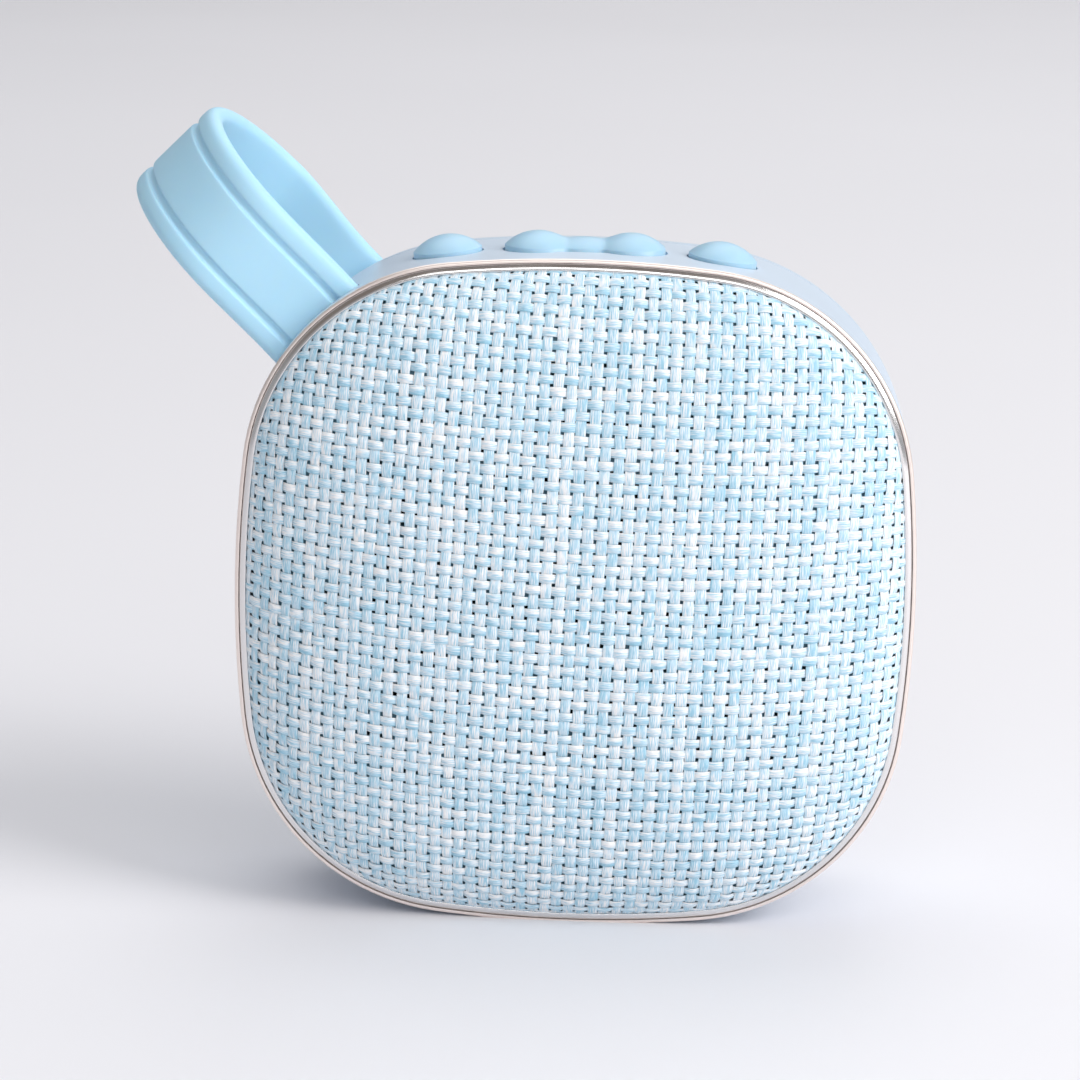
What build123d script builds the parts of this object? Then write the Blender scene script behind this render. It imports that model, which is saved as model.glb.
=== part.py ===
"""Palm-size speaker with a woven front, a chrome trim ring, rubber keys and a moulded wrist strap.

The speaker stands on the flat under its case. X runs to the right, Y to the back and Z up, with
the origin on that flat, below the middle of the front shell. All lengths are millimetres.
"""

import os
from math import asin, atan2, cos, degrees, radians, sin, sqrt

from build123d import *

os.makedirs("parts", exist_ok=True)

# Case outline: a rounded square of four long side arcs and four corner arcs
face_half = 43.0
side_arc_radius = 154.0
corner_arc_radius = 28.5

# Case shells
case_depth = 30.0
straight_depth = 20.0
shoulder_radius = 9.0
case_wall = 2.0
rest_flat_depth = 0.35
lip_width = 0.5
lip_round = 0.4
fit_gap = 0.1
cut_overrun = 1.0
tongue_height = 2.5
tongue_wall = 1.1
parting_groove_width = 0.3
parting_groove_depth = 0.2

# Posts that tie the baffle, the front shell and the rear cover together
post_margin = 12.0
post_up = 17.0
post_radius = 3.2
post_rib = 1.6
post_hole_radius = 1.12

# Trim ring, woven front and grille
dome_height = 10.0
ring_depth = 2.0
ring_width = 1.0
ring_edge_round = 0.15
ring_fit = 0.05
cloth_gap = 0.25
cloth_thickness = 0.7
grille_wall = 1.4
grille_hole_radius = 1.8
grille_hole_pitch = 6.0
grille_hole_rings = 5
grille_pin_radius = 0.65
grille_pin_up = 12.0
dome_power = 2.2
dome_fullness = 0.62
dome_outline_shares = (0.992, 0.975, 0.95, 0.91, 0.85, 0.77, 0.67, 0.56, 0.44, 0.3, 0.15)

# Baffle
baffle_thickness = 2.0

# Driver, from the foam gasket back to the yoke
driver_hole_radius = 23.2
gasket_depth = 1.0
flange_radius = 26.5
flange_depth = 1.0
flange_bore = 21.3
basket_depth = 12.8
basket_wall = 0.8
basket_floor_depth = 0.8
basket_floor_bore = 7.6
basket_waist = 15.0
window_count = 6
window_width = 9.0
window_inner_radius = 16.4
window_outer_radius = 20.6
ledge_bore = 13.9
ledge_depth = 0.6
ledge_height = 2.6
top_plate_depth = 2.5
top_plate_bore = 7.3
magnet_radius = 17.0
magnet_bore = 8.6
magnet_depth = 6.0
yoke_depth = 2.5
yoke_radius = 16.6
pole_radius = 5.9
coil_bore = 6.35
coil_former_wall = 0.2
coil_winding_wall = 0.35
coil_length = 10.0
coil_front = 3.0
winding_length = 4.5
glue_gap = 0.05
cone_radius = 18.0
cone_rim = 1.4
cone_wall = 0.4
surround_wall = 0.35
surround_lap = 1.2
roll_inner_radius = 18.2
roll_outer_radius = 21.4
roll_height = 1.6
surround_radius = 23.2
spider_wall = 0.3
spider_wave = 0.6
spider_radius = 15.1
spider_waves = 4
cap_radius = 7.6
cap_wall = 0.3
cap_height = 3.2
tab_width = 10.0
tab_length = 6.0
tab_thickness = 0.8
tab_front = 3.0
driver_screw_circle = 24.85

# Keys on the top of the case
key_spread = 17.35
key_radius = 4.35
key_edge_height = 0.4
key_dome_height = 1.9
key_gap = 0.2
key_travel = 0.5
key_flange_width = 0.7
key_flange_depth = 0.9
key_flange_drop = 0.7
key_stem_radius = 1.4
key_stem_gap = 0.15
rocker_lobe_spread = 5.85
rocker_lobe_radius = 4.3
rocker_dome_height = 1.85
rocker_waist_half = 3.2
rocker_waist_height = 1.2
rocker_gap = 0.3
rocker_flange_drop = 0.95
rocker_pivot_drop = 2.8
rocker_rib_radius = 1.0
rocker_rib_length = 5.0
rocker_stem_gap = 0.35

# Key board under the keys
key_board_drop = 10.1
board_thickness = 1.2
key_board_margin = 6.0
key_board_width = 12.0
key_boss_margin = 3.0
key_boss_radius = 2.4
switch_size = 6.0
switch_body_height = 3.4
plunger_height = 0.9
plunger_radius = 1.7
fulcrum_width = 3.0
fulcrum_length = 6.0

# Main board behind and under the driver
main_board_margin = 16.6
main_board_depth = 22.4
board_wall_gap = 0.6
board_screw_across = 21.5
board_screw_back = 4.0
board_post_radius = 2.5

# Sockets at the back edge of the main board
usb_across = -12.5
usb_width = 7.6
usb_height = 2.8
usb_depth = 5.6
usb_wall = 0.35
usb_tongue = 0.7
usb_tongue_share = 0.6
aux_across = 2.5
aux_width = 6.2
aux_height = 5.2
aux_depth = 12.0
aux_nose_radius = 2.9
aux_bore_radius = 1.8
aux_bore_length = 12.0
card_across = 15.5
card_width = 14.0
card_height = 1.9
card_depth = 14.5
card_slot_width = 11.4
card_slot_height = 1.0
card_slot_depth = 12.0
mouth_setback = 0.4
port_gap = 0.25
panel_width = 52.0
panel_height = 9.0
panel_depth = 0.6
panel_drop = 24.6
led_across = -5.2
led_width = 1.8
led_height = 2.2
led_depth = 0.8
pipe_radius = 0.85
mic_across = -20.3
mic_width = 3.6
mic_length = 3.0
mic_height = 1.1
mic_hole_radius = 0.5
module_width = 14.0
module_depth = 12.0
module_height = 2.2
module_across = 8.0

# Battery above the driver's magnet
cell_radius = 7.0
cell_length = 43.0
cell_board_gap = 0.3
cell_back = 9.8
cell_cap_radius = 3.0
cell_cap_height = 0.8
cradle_across = 14.0
cradle_wall = 1.6
cradle_foot = 13.5
foam_width = 24.0
foam_height = 6.0

# Screws: head radius, head depth, shank radius and shank length of each kind
small_head_radius = 1.5
small_head_depth = 0.9
small_shank_radius = 0.8
small_shank_length = 4.0
case_head_radius = 2.2
case_head_depth = 1.6
case_shank_radius = 1.1
case_shank_length = 12.0
recess_share = 0.7
recess_width_share = 0.2
recess_depth_share = 0.45
well_radius = 2.6
well_depth = 3.8
cap_plug_depth = 1.8

# Leads inside the case
lead_radius = 0.45
speaker_lead_spread = 2.5
battery_lead_spread = 1.2
battery_lead_out = 1.6
ribbon_thickness = 0.25
ribbon_width = 5.0
ribbon_margin = 1.5
ribbon_inset = 2.0

# Wrist strap, moulded in one piece, standing out of the upper left corner
strap_width = 14.4
strap_thickness = 2.6
strap_edge_round = 0.9
strap_loop_height = 27.9
strap_bulge_height = 14.0
strap_loop_depth = 33.3
strap_front_setback = 0.2
strap_front_root = 2.6
strap_rear_root = 2.7
strap_groove_spread = 4.0
strap_groove_width = 0.7
strap_groove_depth = 0.45
strap_slot_gap = 0.15
strap_front_end = 3.4
strap_rear_end = 7.3
strap_hook_height = 1.7
strap_hook_depth = 4.6
strap_hook_side = 0.4
notch_side_gap = 1.0
notch_end_gap = 1.6

# Depths along the front's direction, measured from the middle of the speaker
ring_face = (case_depth - dome_height) / 2
back_face = ring_face - case_depth
parting = ring_face - straight_depth
front_seat = ring_face - ring_depth
baffle_back = front_seat - baffle_thickness
inner_back = back_face + case_wall
case_centre = face_half - rest_flat_depth

# Places that several pieces share
post_across = face_half - post_margin
post_places = [(x, y) for x in (-post_across, post_across) for y in (-post_up, post_up)]
key_board_top = face_half - key_board_drop
cell_up = key_board_top - board_thickness - cell_board_gap - cell_radius
ribbon_across = cell_length / 2 + ribbon_margin
key_board_half = cell_length / 2 + key_board_margin
key_boss_across = cell_length / 2 + key_boss_margin
key_boss_places = [(-key_boss_across, 0), (key_boss_across, 0)]
main_board_width = 2 * (ribbon_across + ribbon_inset)
main_board_drop = face_half - main_board_margin
plunger_top = key_board_top + switch_body_height + plunger_height
board_front = inner_back + board_wall_gap + main_board_depth
board_screw_places = [(x, board_screw_back - board_front) for x in (-board_screw_across, board_screw_across)]

front = Plane(origin=(0, 0, case_centre), x_dir=(1, 0, 0), z_dir=(0, -1, 0))
half_section = Plane(origin=(0, 0, case_centre), x_dir=(1, 0, 0), z_dir=(0, 0, -1))
driver_axis = Axis((0, 0, case_centre), (0, -1, 0))
side_drop = side_arc_radius - face_half
arc_gap = side_arc_radius - corner_arc_radius
corner_centre = (sqrt(2 * arc_gap**2 - side_drop**2) - side_drop) / 2
side_turn = degrees(atan2(corner_centre, corner_centre + side_drop))
side_end = side_arc_radius * sin(atan2(corner_centre, corner_centre + side_drop))


def case_outline(inset=0.0, share=1.0):
    """The rounded square, drawn in parallel by inset and then shrunk to a share of its size."""
    side_radius = share * (side_arc_radius - inset)
    corner_radius = share * (corner_arc_radius - inset)
    with BuildSketch() as outline:
        with BuildLine():
            for turn in (0, 90, 180, 270):
                side_middle = Vector(0, -share * side_drop).rotate(Axis.Z, turn)
                corner_middle = Vector(share * corner_centre, share * corner_centre).rotate(Axis.Z, turn)
                CenterArc(side_middle, side_radius, 90 - side_turn + turn, 2 * side_turn)
                CenterArc(corner_middle, corner_radius, side_turn + turn, 90 - 2 * side_turn)
        make_face()
    return outline.sketch


def case_edge(across, inset=0.0):
    """Height above the case's middle and lean in degrees of the outline at a place across."""
    if across <= side_end:
        radius, middle_across, middle_up = side_arc_radius, 0.0, -side_drop
    else:
        radius, middle_across, middle_up = corner_arc_radius, corner_centre, corner_centre
    lean = asin((across - middle_across) / (radius - inset))
    return middle_up + (radius - inset) * cos(lean), degrees(lean)


def level(height):
    """Horizontal plane at a height above the case's middle; its y runs to the back."""
    return Plane.XY.offset(case_centre + height)


def dome(inset, height):
    """Solid under a crowned front that rises by height from the ring's face."""
    with BuildPart() as block:
        with BuildSketch(front.offset(front_seat)):
            add(case_outline(inset))
        extrude(amount=ring_depth)
    with BuildPart() as crown:
        with BuildSketch(front.offset(ring_face)):
            add(case_outline(inset))
        for share in dome_outline_shares:
            rise = height * (1 - share**dome_power) ** dome_fullness
            with BuildSketch(front.offset(ring_face + rise)):
                add(case_outline(inset, share))
        loft(ruled=True)
        add(block.part)
    return crown.part


def screws(seat, places, head_radius, head_depth, shank_radius, shank_length):
    """Cross-head screws with their heads on seat and their shanks behind it."""
    with BuildPart() as group:
        with BuildSketch(seat):
            with Locations(*places):
                Circle(head_radius)
        extrude(amount=head_depth)
        with BuildSketch(seat):
            with Locations(*places):
                Circle(shank_radius)
        extrude(amount=-shank_length)
        with BuildSketch(seat.offset(head_depth)):
            with Locations(*places):
                Rectangle(2 * recess_share * head_radius, recess_width_share * head_radius)
                Rectangle(recess_width_share * head_radius, 2 * recess_share * head_radius)
        extrude(amount=-recess_depth_share * head_depth, mode=Mode.SUBTRACT)
    return group.part


key_height, key_lean = case_edge(key_spread)
slot_size = (strap_width + 2 * strap_slot_gap, strap_thickness + 2 * strap_slot_gap)
slot_round = strap_edge_round + strap_slot_gap
corner_reach = sqrt(2) * corner_centre + corner_arc_radius
front_root_face = ring_face - strap_front_root
rear_root_face = back_face + strap_rear_root
corner_out = Plane(origin=(0, 0, case_centre), x_dir=(1, 0, 1), z_dir=(-1, 0, 1))
strap_side = Plane(origin=(0, 0, case_centre), x_dir=(-1, 0, 1), z_dir=(1, 0, 1))


def key_plane(side):
    """Plane on the case's top at an outer key, leaning out with the outline."""
    lean = Vector(0, 0, 1).rotate(Axis.Y, side * key_lean)
    along = Vector(1, 0, 0).rotate(Axis.Y, side * key_lean)
    return Plane(origin=(side * key_spread, 0, case_centre + key_height), x_dir=along, z_dir=lean)


def rocker_outline(extra=0.0):
    """Two round lobes joined by a narrow waist, widened all round by extra."""
    with BuildSketch() as outline:
        with Locations((-rocker_lobe_spread, 0), (rocker_lobe_spread, 0)):
            Circle(rocker_lobe_radius + extra)
        Rectangle(2 * rocker_lobe_spread, 2 * (rocker_waist_half + extra))
    return outline.sketch


# Front shell: the straight part of the case, with the ring's rebate, posts, key holes and slot
with BuildPart() as front_shell:
    with BuildSketch(front.offset(parting)):
        add(case_outline())
        add(case_outline(case_wall), mode=Mode.SUBTRACT)
    extrude(amount=straight_depth)
    with BuildSketch(front.offset(parting)):
        add(case_outline())
        add(case_outline(parting_groove_depth), mode=Mode.SUBTRACT)
    extrude(amount=parting_groove_width / 2, mode=Mode.SUBTRACT)
    with BuildSketch(front.offset(front_seat)):
        add(case_outline(lip_width))
    extrude(amount=ring_depth, mode=Mode.SUBTRACT)
    fillet(front_shell.faces().sort_by(Axis.Y)[0].outer_wire().edges(), lip_round)
    rib_end = case_edge(post_up + post_rib / 2, case_wall / 2)[0]
    with BuildSketch(front.offset(parting + tongue_height + fit_gap)):
        for side in (-1, 1):
            with Locations((side * (post_across + rib_end) / 2, post_up)):
                Rectangle(rib_end - post_across, post_rib)
            with Locations((side * (post_across + rib_end) / 2, -post_up)):
                Rectangle(rib_end - post_across, post_rib)
    extrude(amount=baffle_back - parting - tongue_height - fit_gap)
    with BuildSketch(front.offset(parting)):
        with Locations(*post_places):
            Circle(post_radius)
    extrude(amount=baffle_back - parting)
    with BuildSketch(front.offset(parting)):
        with Locations(*post_places):
            Circle(post_hole_radius)
    extrude(amount=baffle_back - parting, mode=Mode.SUBTRACT)
    with BuildSketch(level(key_board_top)):
        with Locations(*key_boss_places):
            Circle(key_boss_radius)
    extrude(amount=case_edge(key_boss_across, case_wall / 2)[0] - key_board_top)
    with BuildSketch(level(key_board_top)):
        with Locations(*key_boss_places):
            Circle(small_shank_radius)
    extrude(amount=small_shank_length, mode=Mode.SUBTRACT)
    post_foot = case_edge(board_screw_across, case_wall / 2)[0]
    with BuildSketch(level(-post_foot)):
        with Locations(*board_screw_places):
            Circle(board_post_radius)
    extrude(amount=post_foot - main_board_drop - board_thickness)
    with BuildSketch(level(-main_board_drop - board_thickness)):
        with Locations(*board_screw_places):
            Circle(small_shank_radius)
    extrude(amount=-small_shank_length, mode=Mode.SUBTRACT)
    for side in (-1, 1):
        with BuildSketch(key_plane(side).offset(-case_wall - cut_overrun)):
            Circle(key_radius + key_gap)
        extrude(amount=case_wall + 2 * cut_overrun, mode=Mode.SUBTRACT)
    with BuildSketch(level(face_half - case_wall - cut_overrun)):
        add(rocker_outline(rocker_gap))
    extrude(amount=case_wall + 2 * cut_overrun, mode=Mode.SUBTRACT)
    with BuildSketch(corner_out.offset(corner_reach - case_wall - 2 * cut_overrun)):
        with Locations((0, -front_root_face + strap_thickness / 2)):
            RectangleRounded(*slot_size, slot_round)
    extrude(amount=case_wall + 3 * cut_overrun, mode=Mode.SUBTRACT)
    with BuildSketch(Plane.XY):
        Rectangle(2 * face_half, 2 * case_depth)
    extrude(amount=-face_half, mode=Mode.SUBTRACT)
front_shell.part.label = "front_shell"
export_step(front_shell.part, "parts/front_shell.step")

# Rear cover: shouldered back with screw wells, a port panel, the cell's cradle and a strap slot
with BuildPart() as rear_cavity:
    with BuildSketch(front.offset(parting)):
        add(case_outline(case_wall))
    extrude(amount=inner_back - parting)
    fillet(rear_cavity.faces().sort_by(Axis.Y)[-1].edges(), shoulder_radius - case_wall)

with BuildPart() as rear_cover:
    with BuildSketch(front.offset(parting)):
        add(case_outline())
    extrude(amount=back_face - parting)
    fillet(rear_cover.faces().sort_by(Axis.Y)[-1].edges(), shoulder_radius)
    add(rear_cavity.part, mode=Mode.SUBTRACT)
    with BuildSketch(front.offset(parting - case_wall)):
        add(case_outline(case_wall / 2))
        add(case_outline(case_wall + fit_gap + tongue_wall), mode=Mode.SUBTRACT)
    extrude(amount=case_wall)
    with BuildSketch(front.offset(parting)):
        add(case_outline(case_wall + fit_gap))
        add(case_outline(case_wall + fit_gap + tongue_wall), mode=Mode.SUBTRACT)
    extrude(amount=tongue_height)
    with BuildSketch(front.offset(parting)):
        with Locations(*post_places):
            Circle(post_radius)
    extrude(amount=inner_back - parting)
    for across in (-cradle_across, cradle_across):
        with BuildSketch(front.offset(inner_back)):
            with Locations((across, (cradle_foot + cell_up) / 2)):
                Rectangle(cradle_wall, cell_up - cradle_foot)
        extrude(amount=-cell_back - inner_back)
    with BuildSketch(Plane.YZ.offset(-cell_length / 2)):
        with Locations((cell_back, case_centre + cell_up)):
            Circle(cell_radius + fit_gap)
    extrude(amount=cell_length, mode=Mode.SUBTRACT)
    with BuildSketch(front.offset(back_face)):
        with Locations(*post_places):
            Circle(well_radius)
    extrude(amount=well_depth, mode=Mode.SUBTRACT)
    with BuildSketch(front.offset(back_face)):
        with Locations(*post_places):
            Circle(case_shank_radius + fit_gap)
    extrude(amount=parting - back_face, mode=Mode.SUBTRACT)
    with BuildSketch(front.offset(back_face)):
        with Locations((0, -panel_drop)):
            SlotOverall(panel_width, panel_height)
    extrude(amount=panel_depth, mode=Mode.SUBTRACT)
    with BuildSketch(front.offset(back_face)):
        with Locations((usb_across, usb_height / 2 - main_board_drop)):
            RectangleRounded(usb_width + 2 * port_gap, usb_height + 2 * port_gap, usb_height / 4)
        with Locations((aux_across, aux_height / 2 - main_board_drop)):
            Circle(aux_nose_radius + port_gap)
        with Locations((card_across, card_height / 2 - main_board_drop)):
            SlotOverall(card_slot_width + 2 * port_gap, card_height)
        with Locations((led_across, led_height / 2 - main_board_drop)):
            Circle(pipe_radius + glue_gap)
        with Locations((mic_across, mic_height / 2 - main_board_drop)):
            Circle(mic_hole_radius)
    extrude(amount=case_wall, mode=Mode.SUBTRACT)
    with BuildSketch(corner_out.offset(corner_reach - shoulder_radius)):
        with Locations((0, -rear_root_face - strap_thickness / 2)):
            RectangleRounded(*slot_size, slot_round)
    extrude(amount=shoulder_radius + cut_overrun, mode=Mode.SUBTRACT)
    with BuildSketch(front.offset(parting)):
        add(case_outline())
        add(case_outline(parting_groove_depth), mode=Mode.SUBTRACT)
    extrude(amount=-parting_groove_width / 2, mode=Mode.SUBTRACT)
    with BuildSketch(Plane.XY):
        Rectangle(2 * face_half, 2 * case_depth)
    extrude(amount=-face_half, mode=Mode.SUBTRACT)
rear_cover.part.label = "rear_cover"
export_step(rear_cover.part, "parts/rear_cover.step")

# Trim ring: plated band pressed into the rebate, with softly broken front edges
with BuildPart() as trim_ring:
    with BuildSketch(front.offset(front_seat)):
        add(case_outline(lip_width + ring_fit))
        add(case_outline(lip_width + ring_width), mode=Mode.SUBTRACT)
    extrude(amount=ring_depth)
    fillet(trim_ring.faces().sort_by(Axis.Y)[0].edges(), ring_edge_round)
trim_ring.part.label = "trim_ring"
export_step(trim_ring.part, "parts/trim_ring.step")

cloth_inset = lip_width + ring_width + cloth_gap
grille_inset = cloth_inset + cloth_thickness + fit_gap

# Woven cloth stretched over the grille and turned down inside the ring
with BuildPart() as grille_cloth:
    add(dome(cloth_inset, dome_height))
    add(dome(cloth_inset + cloth_thickness, dome_height - cloth_thickness), mode=Mode.SUBTRACT)
grille_cloth.part.label = "grille_cloth"
export_step(grille_cloth.part, "parts/grille_cloth.step")

# Grille: domed, holed carrier of the cloth, pinned to the baffle
pin_across = case_edge(grille_pin_up, grille_inset + grille_wall / 2)[0]
grille_pin_places = [(x, y) for x in (-pin_across, pin_across) for y in (-grille_pin_up, grille_pin_up)]
with BuildPart() as grille_frame:
    add(dome(grille_inset, dome_height - cloth_thickness - fit_gap))
    add(
        dome(grille_inset + grille_wall, dome_height - cloth_thickness - fit_gap - grille_wall),
        mode=Mode.SUBTRACT,
    )
    with BuildSketch(front.offset(front_seat)):
        Circle(grille_hole_radius)
        for ring in range(1, grille_hole_rings + 1):
            with PolarLocations(ring * grille_hole_pitch, 6 * ring):
                Circle(grille_hole_radius)
    extrude(amount=ring_depth + dome_height, mode=Mode.SUBTRACT)
    with BuildSketch(front.offset(front_seat)):
        with Locations(*grille_pin_places):
            Circle(grille_pin_radius)
    extrude(amount=-baffle_thickness)
grille_frame.part.label = "grille_frame"
export_step(grille_frame.part, "parts/grille_frame.step")

# Baffle: carries the driver and the grille, screwed to the front shell's posts
diagonal = driver_screw_circle / sqrt(2)
driver_screw_places = [(x, y) for x in (-diagonal, diagonal) for y in (-diagonal, diagonal)]
with BuildPart() as baffle_plate:
    with BuildSketch(front.offset(baffle_back)):
        add(case_outline(case_wall + fit_gap))
        Circle(driver_hole_radius, mode=Mode.SUBTRACT)
        with Locations(*post_places):
            Circle(small_shank_radius + fit_gap, mode=Mode.SUBTRACT)
        with Locations(*driver_screw_places):
            Circle(small_shank_radius, mode=Mode.SUBTRACT)
        with Locations(*grille_pin_places):
            Circle(grille_pin_radius + fit_gap, mode=Mode.SUBTRACT)
    extrude(amount=baffle_thickness)
    with BuildSketch(corner_out.offset(corner_reach - case_wall - strap_front_end - notch_end_gap)):
        Rectangle(strap_width + 2 * notch_side_gap, 2 * ring_face)
    extrude(amount=corner_reach, mode=Mode.SUBTRACT)
baffle_plate.part.label = "baffle_plate"
export_step(baffle_plate.part, "parts/baffle_plate.step")

with BuildPart() as baffle_screws:
    add(
        screws(
            front.offset(front_seat),
            post_places,
            small_head_radius,
            small_head_depth,
            small_shank_radius,
            small_shank_length,
        )
    )
baffle_screws.part.label = "baffle_screws"
export_step(baffle_screws.part, "parts/baffle_screws.step")

# Driver stack, built from the baffle back
gasket_front = front_seat + gasket_depth
flange_front = gasket_front + flange_depth
floor_back = flange_front - basket_depth
floor_front = floor_back + basket_floor_depth
plate_back = floor_back - top_plate_depth
magnet_back = plate_back - magnet_depth
yoke_back = magnet_back - yoke_depth
ledge_front = floor_back + ledge_height
wall_slope = (flange_bore - basket_waist + basket_wall) / (gasket_front - floor_front)

with BuildPart() as driver_gasket:
    with BuildSketch(front.offset(front_seat)):
        Circle(flange_radius)
        Circle(driver_hole_radius, mode=Mode.SUBTRACT)
        with Locations(*driver_screw_places):
            Circle(small_shank_radius + fit_gap, mode=Mode.SUBTRACT)
    extrude(amount=gasket_depth)
driver_gasket.part.label = "driver_gasket"
export_step(driver_gasket.part, "parts/driver_gasket.step")

with BuildPart() as driver_basket:
    with BuildSketch(half_section):
        with BuildLine():
            Polyline(
                (flange_bore, flange_front),
                (flange_radius, flange_front),
                (flange_radius, gasket_front),
                (flange_bore + basket_wall, gasket_front),
                (basket_waist, floor_front),
                (basket_waist, floor_back),
                (basket_floor_bore, floor_back),
                (basket_floor_bore, floor_front),
                (basket_waist - basket_wall, floor_front),
                (flange_bore, gasket_front),
                close=True,
            )
        make_face()
    revolve(axis=driver_axis)
    with BuildSketch(front.offset(floor_front)):
        with PolarLocations((window_inner_radius + window_outer_radius) / 2, window_count):
            Rectangle(window_outer_radius - window_inner_radius, window_width)
    extrude(amount=gasket_front - floor_front, mode=Mode.SUBTRACT)
    ledge_wall = basket_waist + (ledge_front - floor_front) * wall_slope - basket_wall / 2
    with BuildSketch(front.offset(ledge_front - ledge_depth)):
        Circle(ledge_wall)
        Circle(ledge_bore, mode=Mode.SUBTRACT)
    extrude(amount=ledge_depth)
    with BuildSketch(front.offset(gasket_front)):
        with Locations(*driver_screw_places):
            Circle(small_shank_radius + fit_gap)
    extrude(amount=flange_depth, mode=Mode.SUBTRACT)
driver_basket.part.label = "driver_basket"
export_step(driver_basket.part, "parts/driver_basket.step")

with BuildPart() as driver_screws:
    add(
        screws(
            front.offset(flange_front),
            driver_screw_places,
            small_head_radius,
            small_head_depth,
            small_shank_radius,
            small_shank_length,
        )
    )
driver_screws.part.label = "driver_screws"
export_step(driver_screws.part, "parts/driver_screws.step")

with BuildPart() as top_plate:
    with BuildSketch(front.offset(plate_back)):
        Circle(basket_waist)
        Circle(top_plate_bore, mode=Mode.SUBTRACT)
    extrude(amount=top_plate_depth)
top_plate.part.label = "top_plate"
export_step(top_plate.part, "parts/top_plate.step")

with BuildPart() as driver_magnet:
    with BuildSketch(front.offset(magnet_back)):
        Circle(magnet_radius)
        Circle(magnet_bore, mode=Mode.SUBTRACT)
    extrude(amount=magnet_depth)
driver_magnet.part.label = "driver_magnet"
export_step(driver_magnet.part, "parts/driver_magnet.step")

with BuildPart() as driver_yoke:
    with BuildSketch(front.offset(yoke_back)):
        Circle(yoke_radius)
    extrude(amount=yoke_depth)
    with BuildSketch(front.offset(magnet_back)):
        Circle(pole_radius)
    extrude(amount=floor_back - magnet_back)
driver_yoke.part.label = "driver_yoke"
export_step(driver_yoke.part, "parts/driver_yoke.step")

# Diaphragm: voice coil, cone and dust cap move together along the driver's axis
coil_wall_radius = coil_bore + coil_former_wall
winding_front = (floor_back + plate_back + winding_length) / 2
with BuildPart() as voice_coil:
    with BuildSketch(front.offset(coil_front - coil_length)):
        Circle(coil_wall_radius)
        Circle(coil_bore, mode=Mode.SUBTRACT)
    extrude(amount=coil_length)
    with BuildSketch(front.offset(winding_front - winding_length)):
        Circle(coil_wall_radius + coil_winding_wall)
        Circle(coil_bore, mode=Mode.SUBTRACT)
    extrude(amount=winding_length)
voice_coil.part.label = "voice_coil"
export_step(voice_coil.part, "parts/voice_coil.step")

throat_back = coil_front - cone_wall
throat_radius = coil_wall_radius + glue_gap
with BuildPart() as driver_cone:
    with BuildSketch(half_section):
        with BuildLine():
            Polyline(
                (throat_radius, throat_back),
                (cone_radius - cone_rim, flange_front - cone_wall),
                (cone_radius, flange_front - cone_wall),
                (cone_radius, flange_front),
                (cone_radius - cone_rim, flange_front),
                (throat_radius, coil_front),
                close=True,
            )
        make_face()
    revolve(axis=driver_axis)
driver_cone.part.label = "driver_cone"
export_step(driver_cone.part, "parts/driver_cone.step")

cone_rise = (flange_front - coil_front) / (cone_radius - cone_rim - throat_radius)
cap_foot = coil_front + (cap_radius - throat_radius) * cone_rise + glue_gap
cap_dome_radius = (cap_radius**2 + cap_height**2) / (2 * cap_height)
with BuildPart() as dust_cap:
    for wall, mode in ((0, Mode.ADD), (cap_wall, Mode.SUBTRACT)):
        cap_top = cap_foot + cap_height - wall
        cap_side = sqrt((cap_dome_radius - wall) ** 2 - (cap_dome_radius - cap_height) ** 2)
        with BuildSketch(half_section):
            with BuildLine():
                Line((0, cap_foot), (0, cap_top))
                RadiusArc((0, cap_top), (cap_side, cap_foot), cap_dome_radius - wall)
                Line((cap_side, cap_foot), (0, cap_foot))
            make_face()
        revolve(axis=driver_axis, mode=mode)
dust_cap.part.label = "dust_cap"
export_step(dust_cap.part, "parts/dust_cap.step")

# Surround: half roll between the cone's rim and the flange
surround_front = flange_front + surround_wall
roll_middle = (roll_inner_radius + roll_outer_radius) / 2
with BuildPart() as driver_surround:
    with BuildSketch(half_section):
        with BuildLine():
            Line((cone_radius - surround_lap, surround_front), (roll_inner_radius, surround_front))
            ThreePointArc(
                (roll_inner_radius, surround_front),
                (roll_middle, surround_front + roll_height),
                (roll_outer_radius, surround_front),
            )
            Line((roll_outer_radius, surround_front), (surround_radius, surround_front))
            Line((surround_radius, surround_front), (surround_radius, flange_front))
            Line((surround_radius, flange_front), (roll_outer_radius - surround_wall, flange_front))
            ThreePointArc(
                (roll_outer_radius - surround_wall, flange_front),
                (roll_middle, flange_front + roll_height),
                (roll_inner_radius + surround_wall, flange_front),
            )
            Polyline(
                (roll_inner_radius + surround_wall, flange_front),
                (cone_radius - surround_lap, flange_front),
                (cone_radius - surround_lap, surround_front),
            )
        make_face()
    revolve(axis=driver_axis)
driver_surround.part.label = "driver_surround"
export_step(driver_surround.part, "parts/driver_surround.step")

# Spider: corrugated centring disc from the coil to the basket's ledge
wave_length = (ledge_bore - throat_radius) / spider_waves
with BuildPart() as driver_spider:
    with BuildSketch(half_section):
        with BuildLine():
            lower = [(throat_radius, ledge_front)]
            for wave in range(spider_waves):
                lower.append((throat_radius + (wave + 0.5) * wave_length, ledge_front + spider_wave))
                lower.append((throat_radius + (wave + 1) * wave_length, ledge_front))
            lower.append((spider_radius, ledge_front))
            upper = [(across, rise + spider_wall) for across, rise in reversed(lower)]
            Polyline(*lower, *upper, close=True)
        make_face()
    revolve(axis=driver_axis)
driver_spider.part.label = "driver_spider"
export_step(driver_spider.part, "parts/driver_spider.step")

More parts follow.
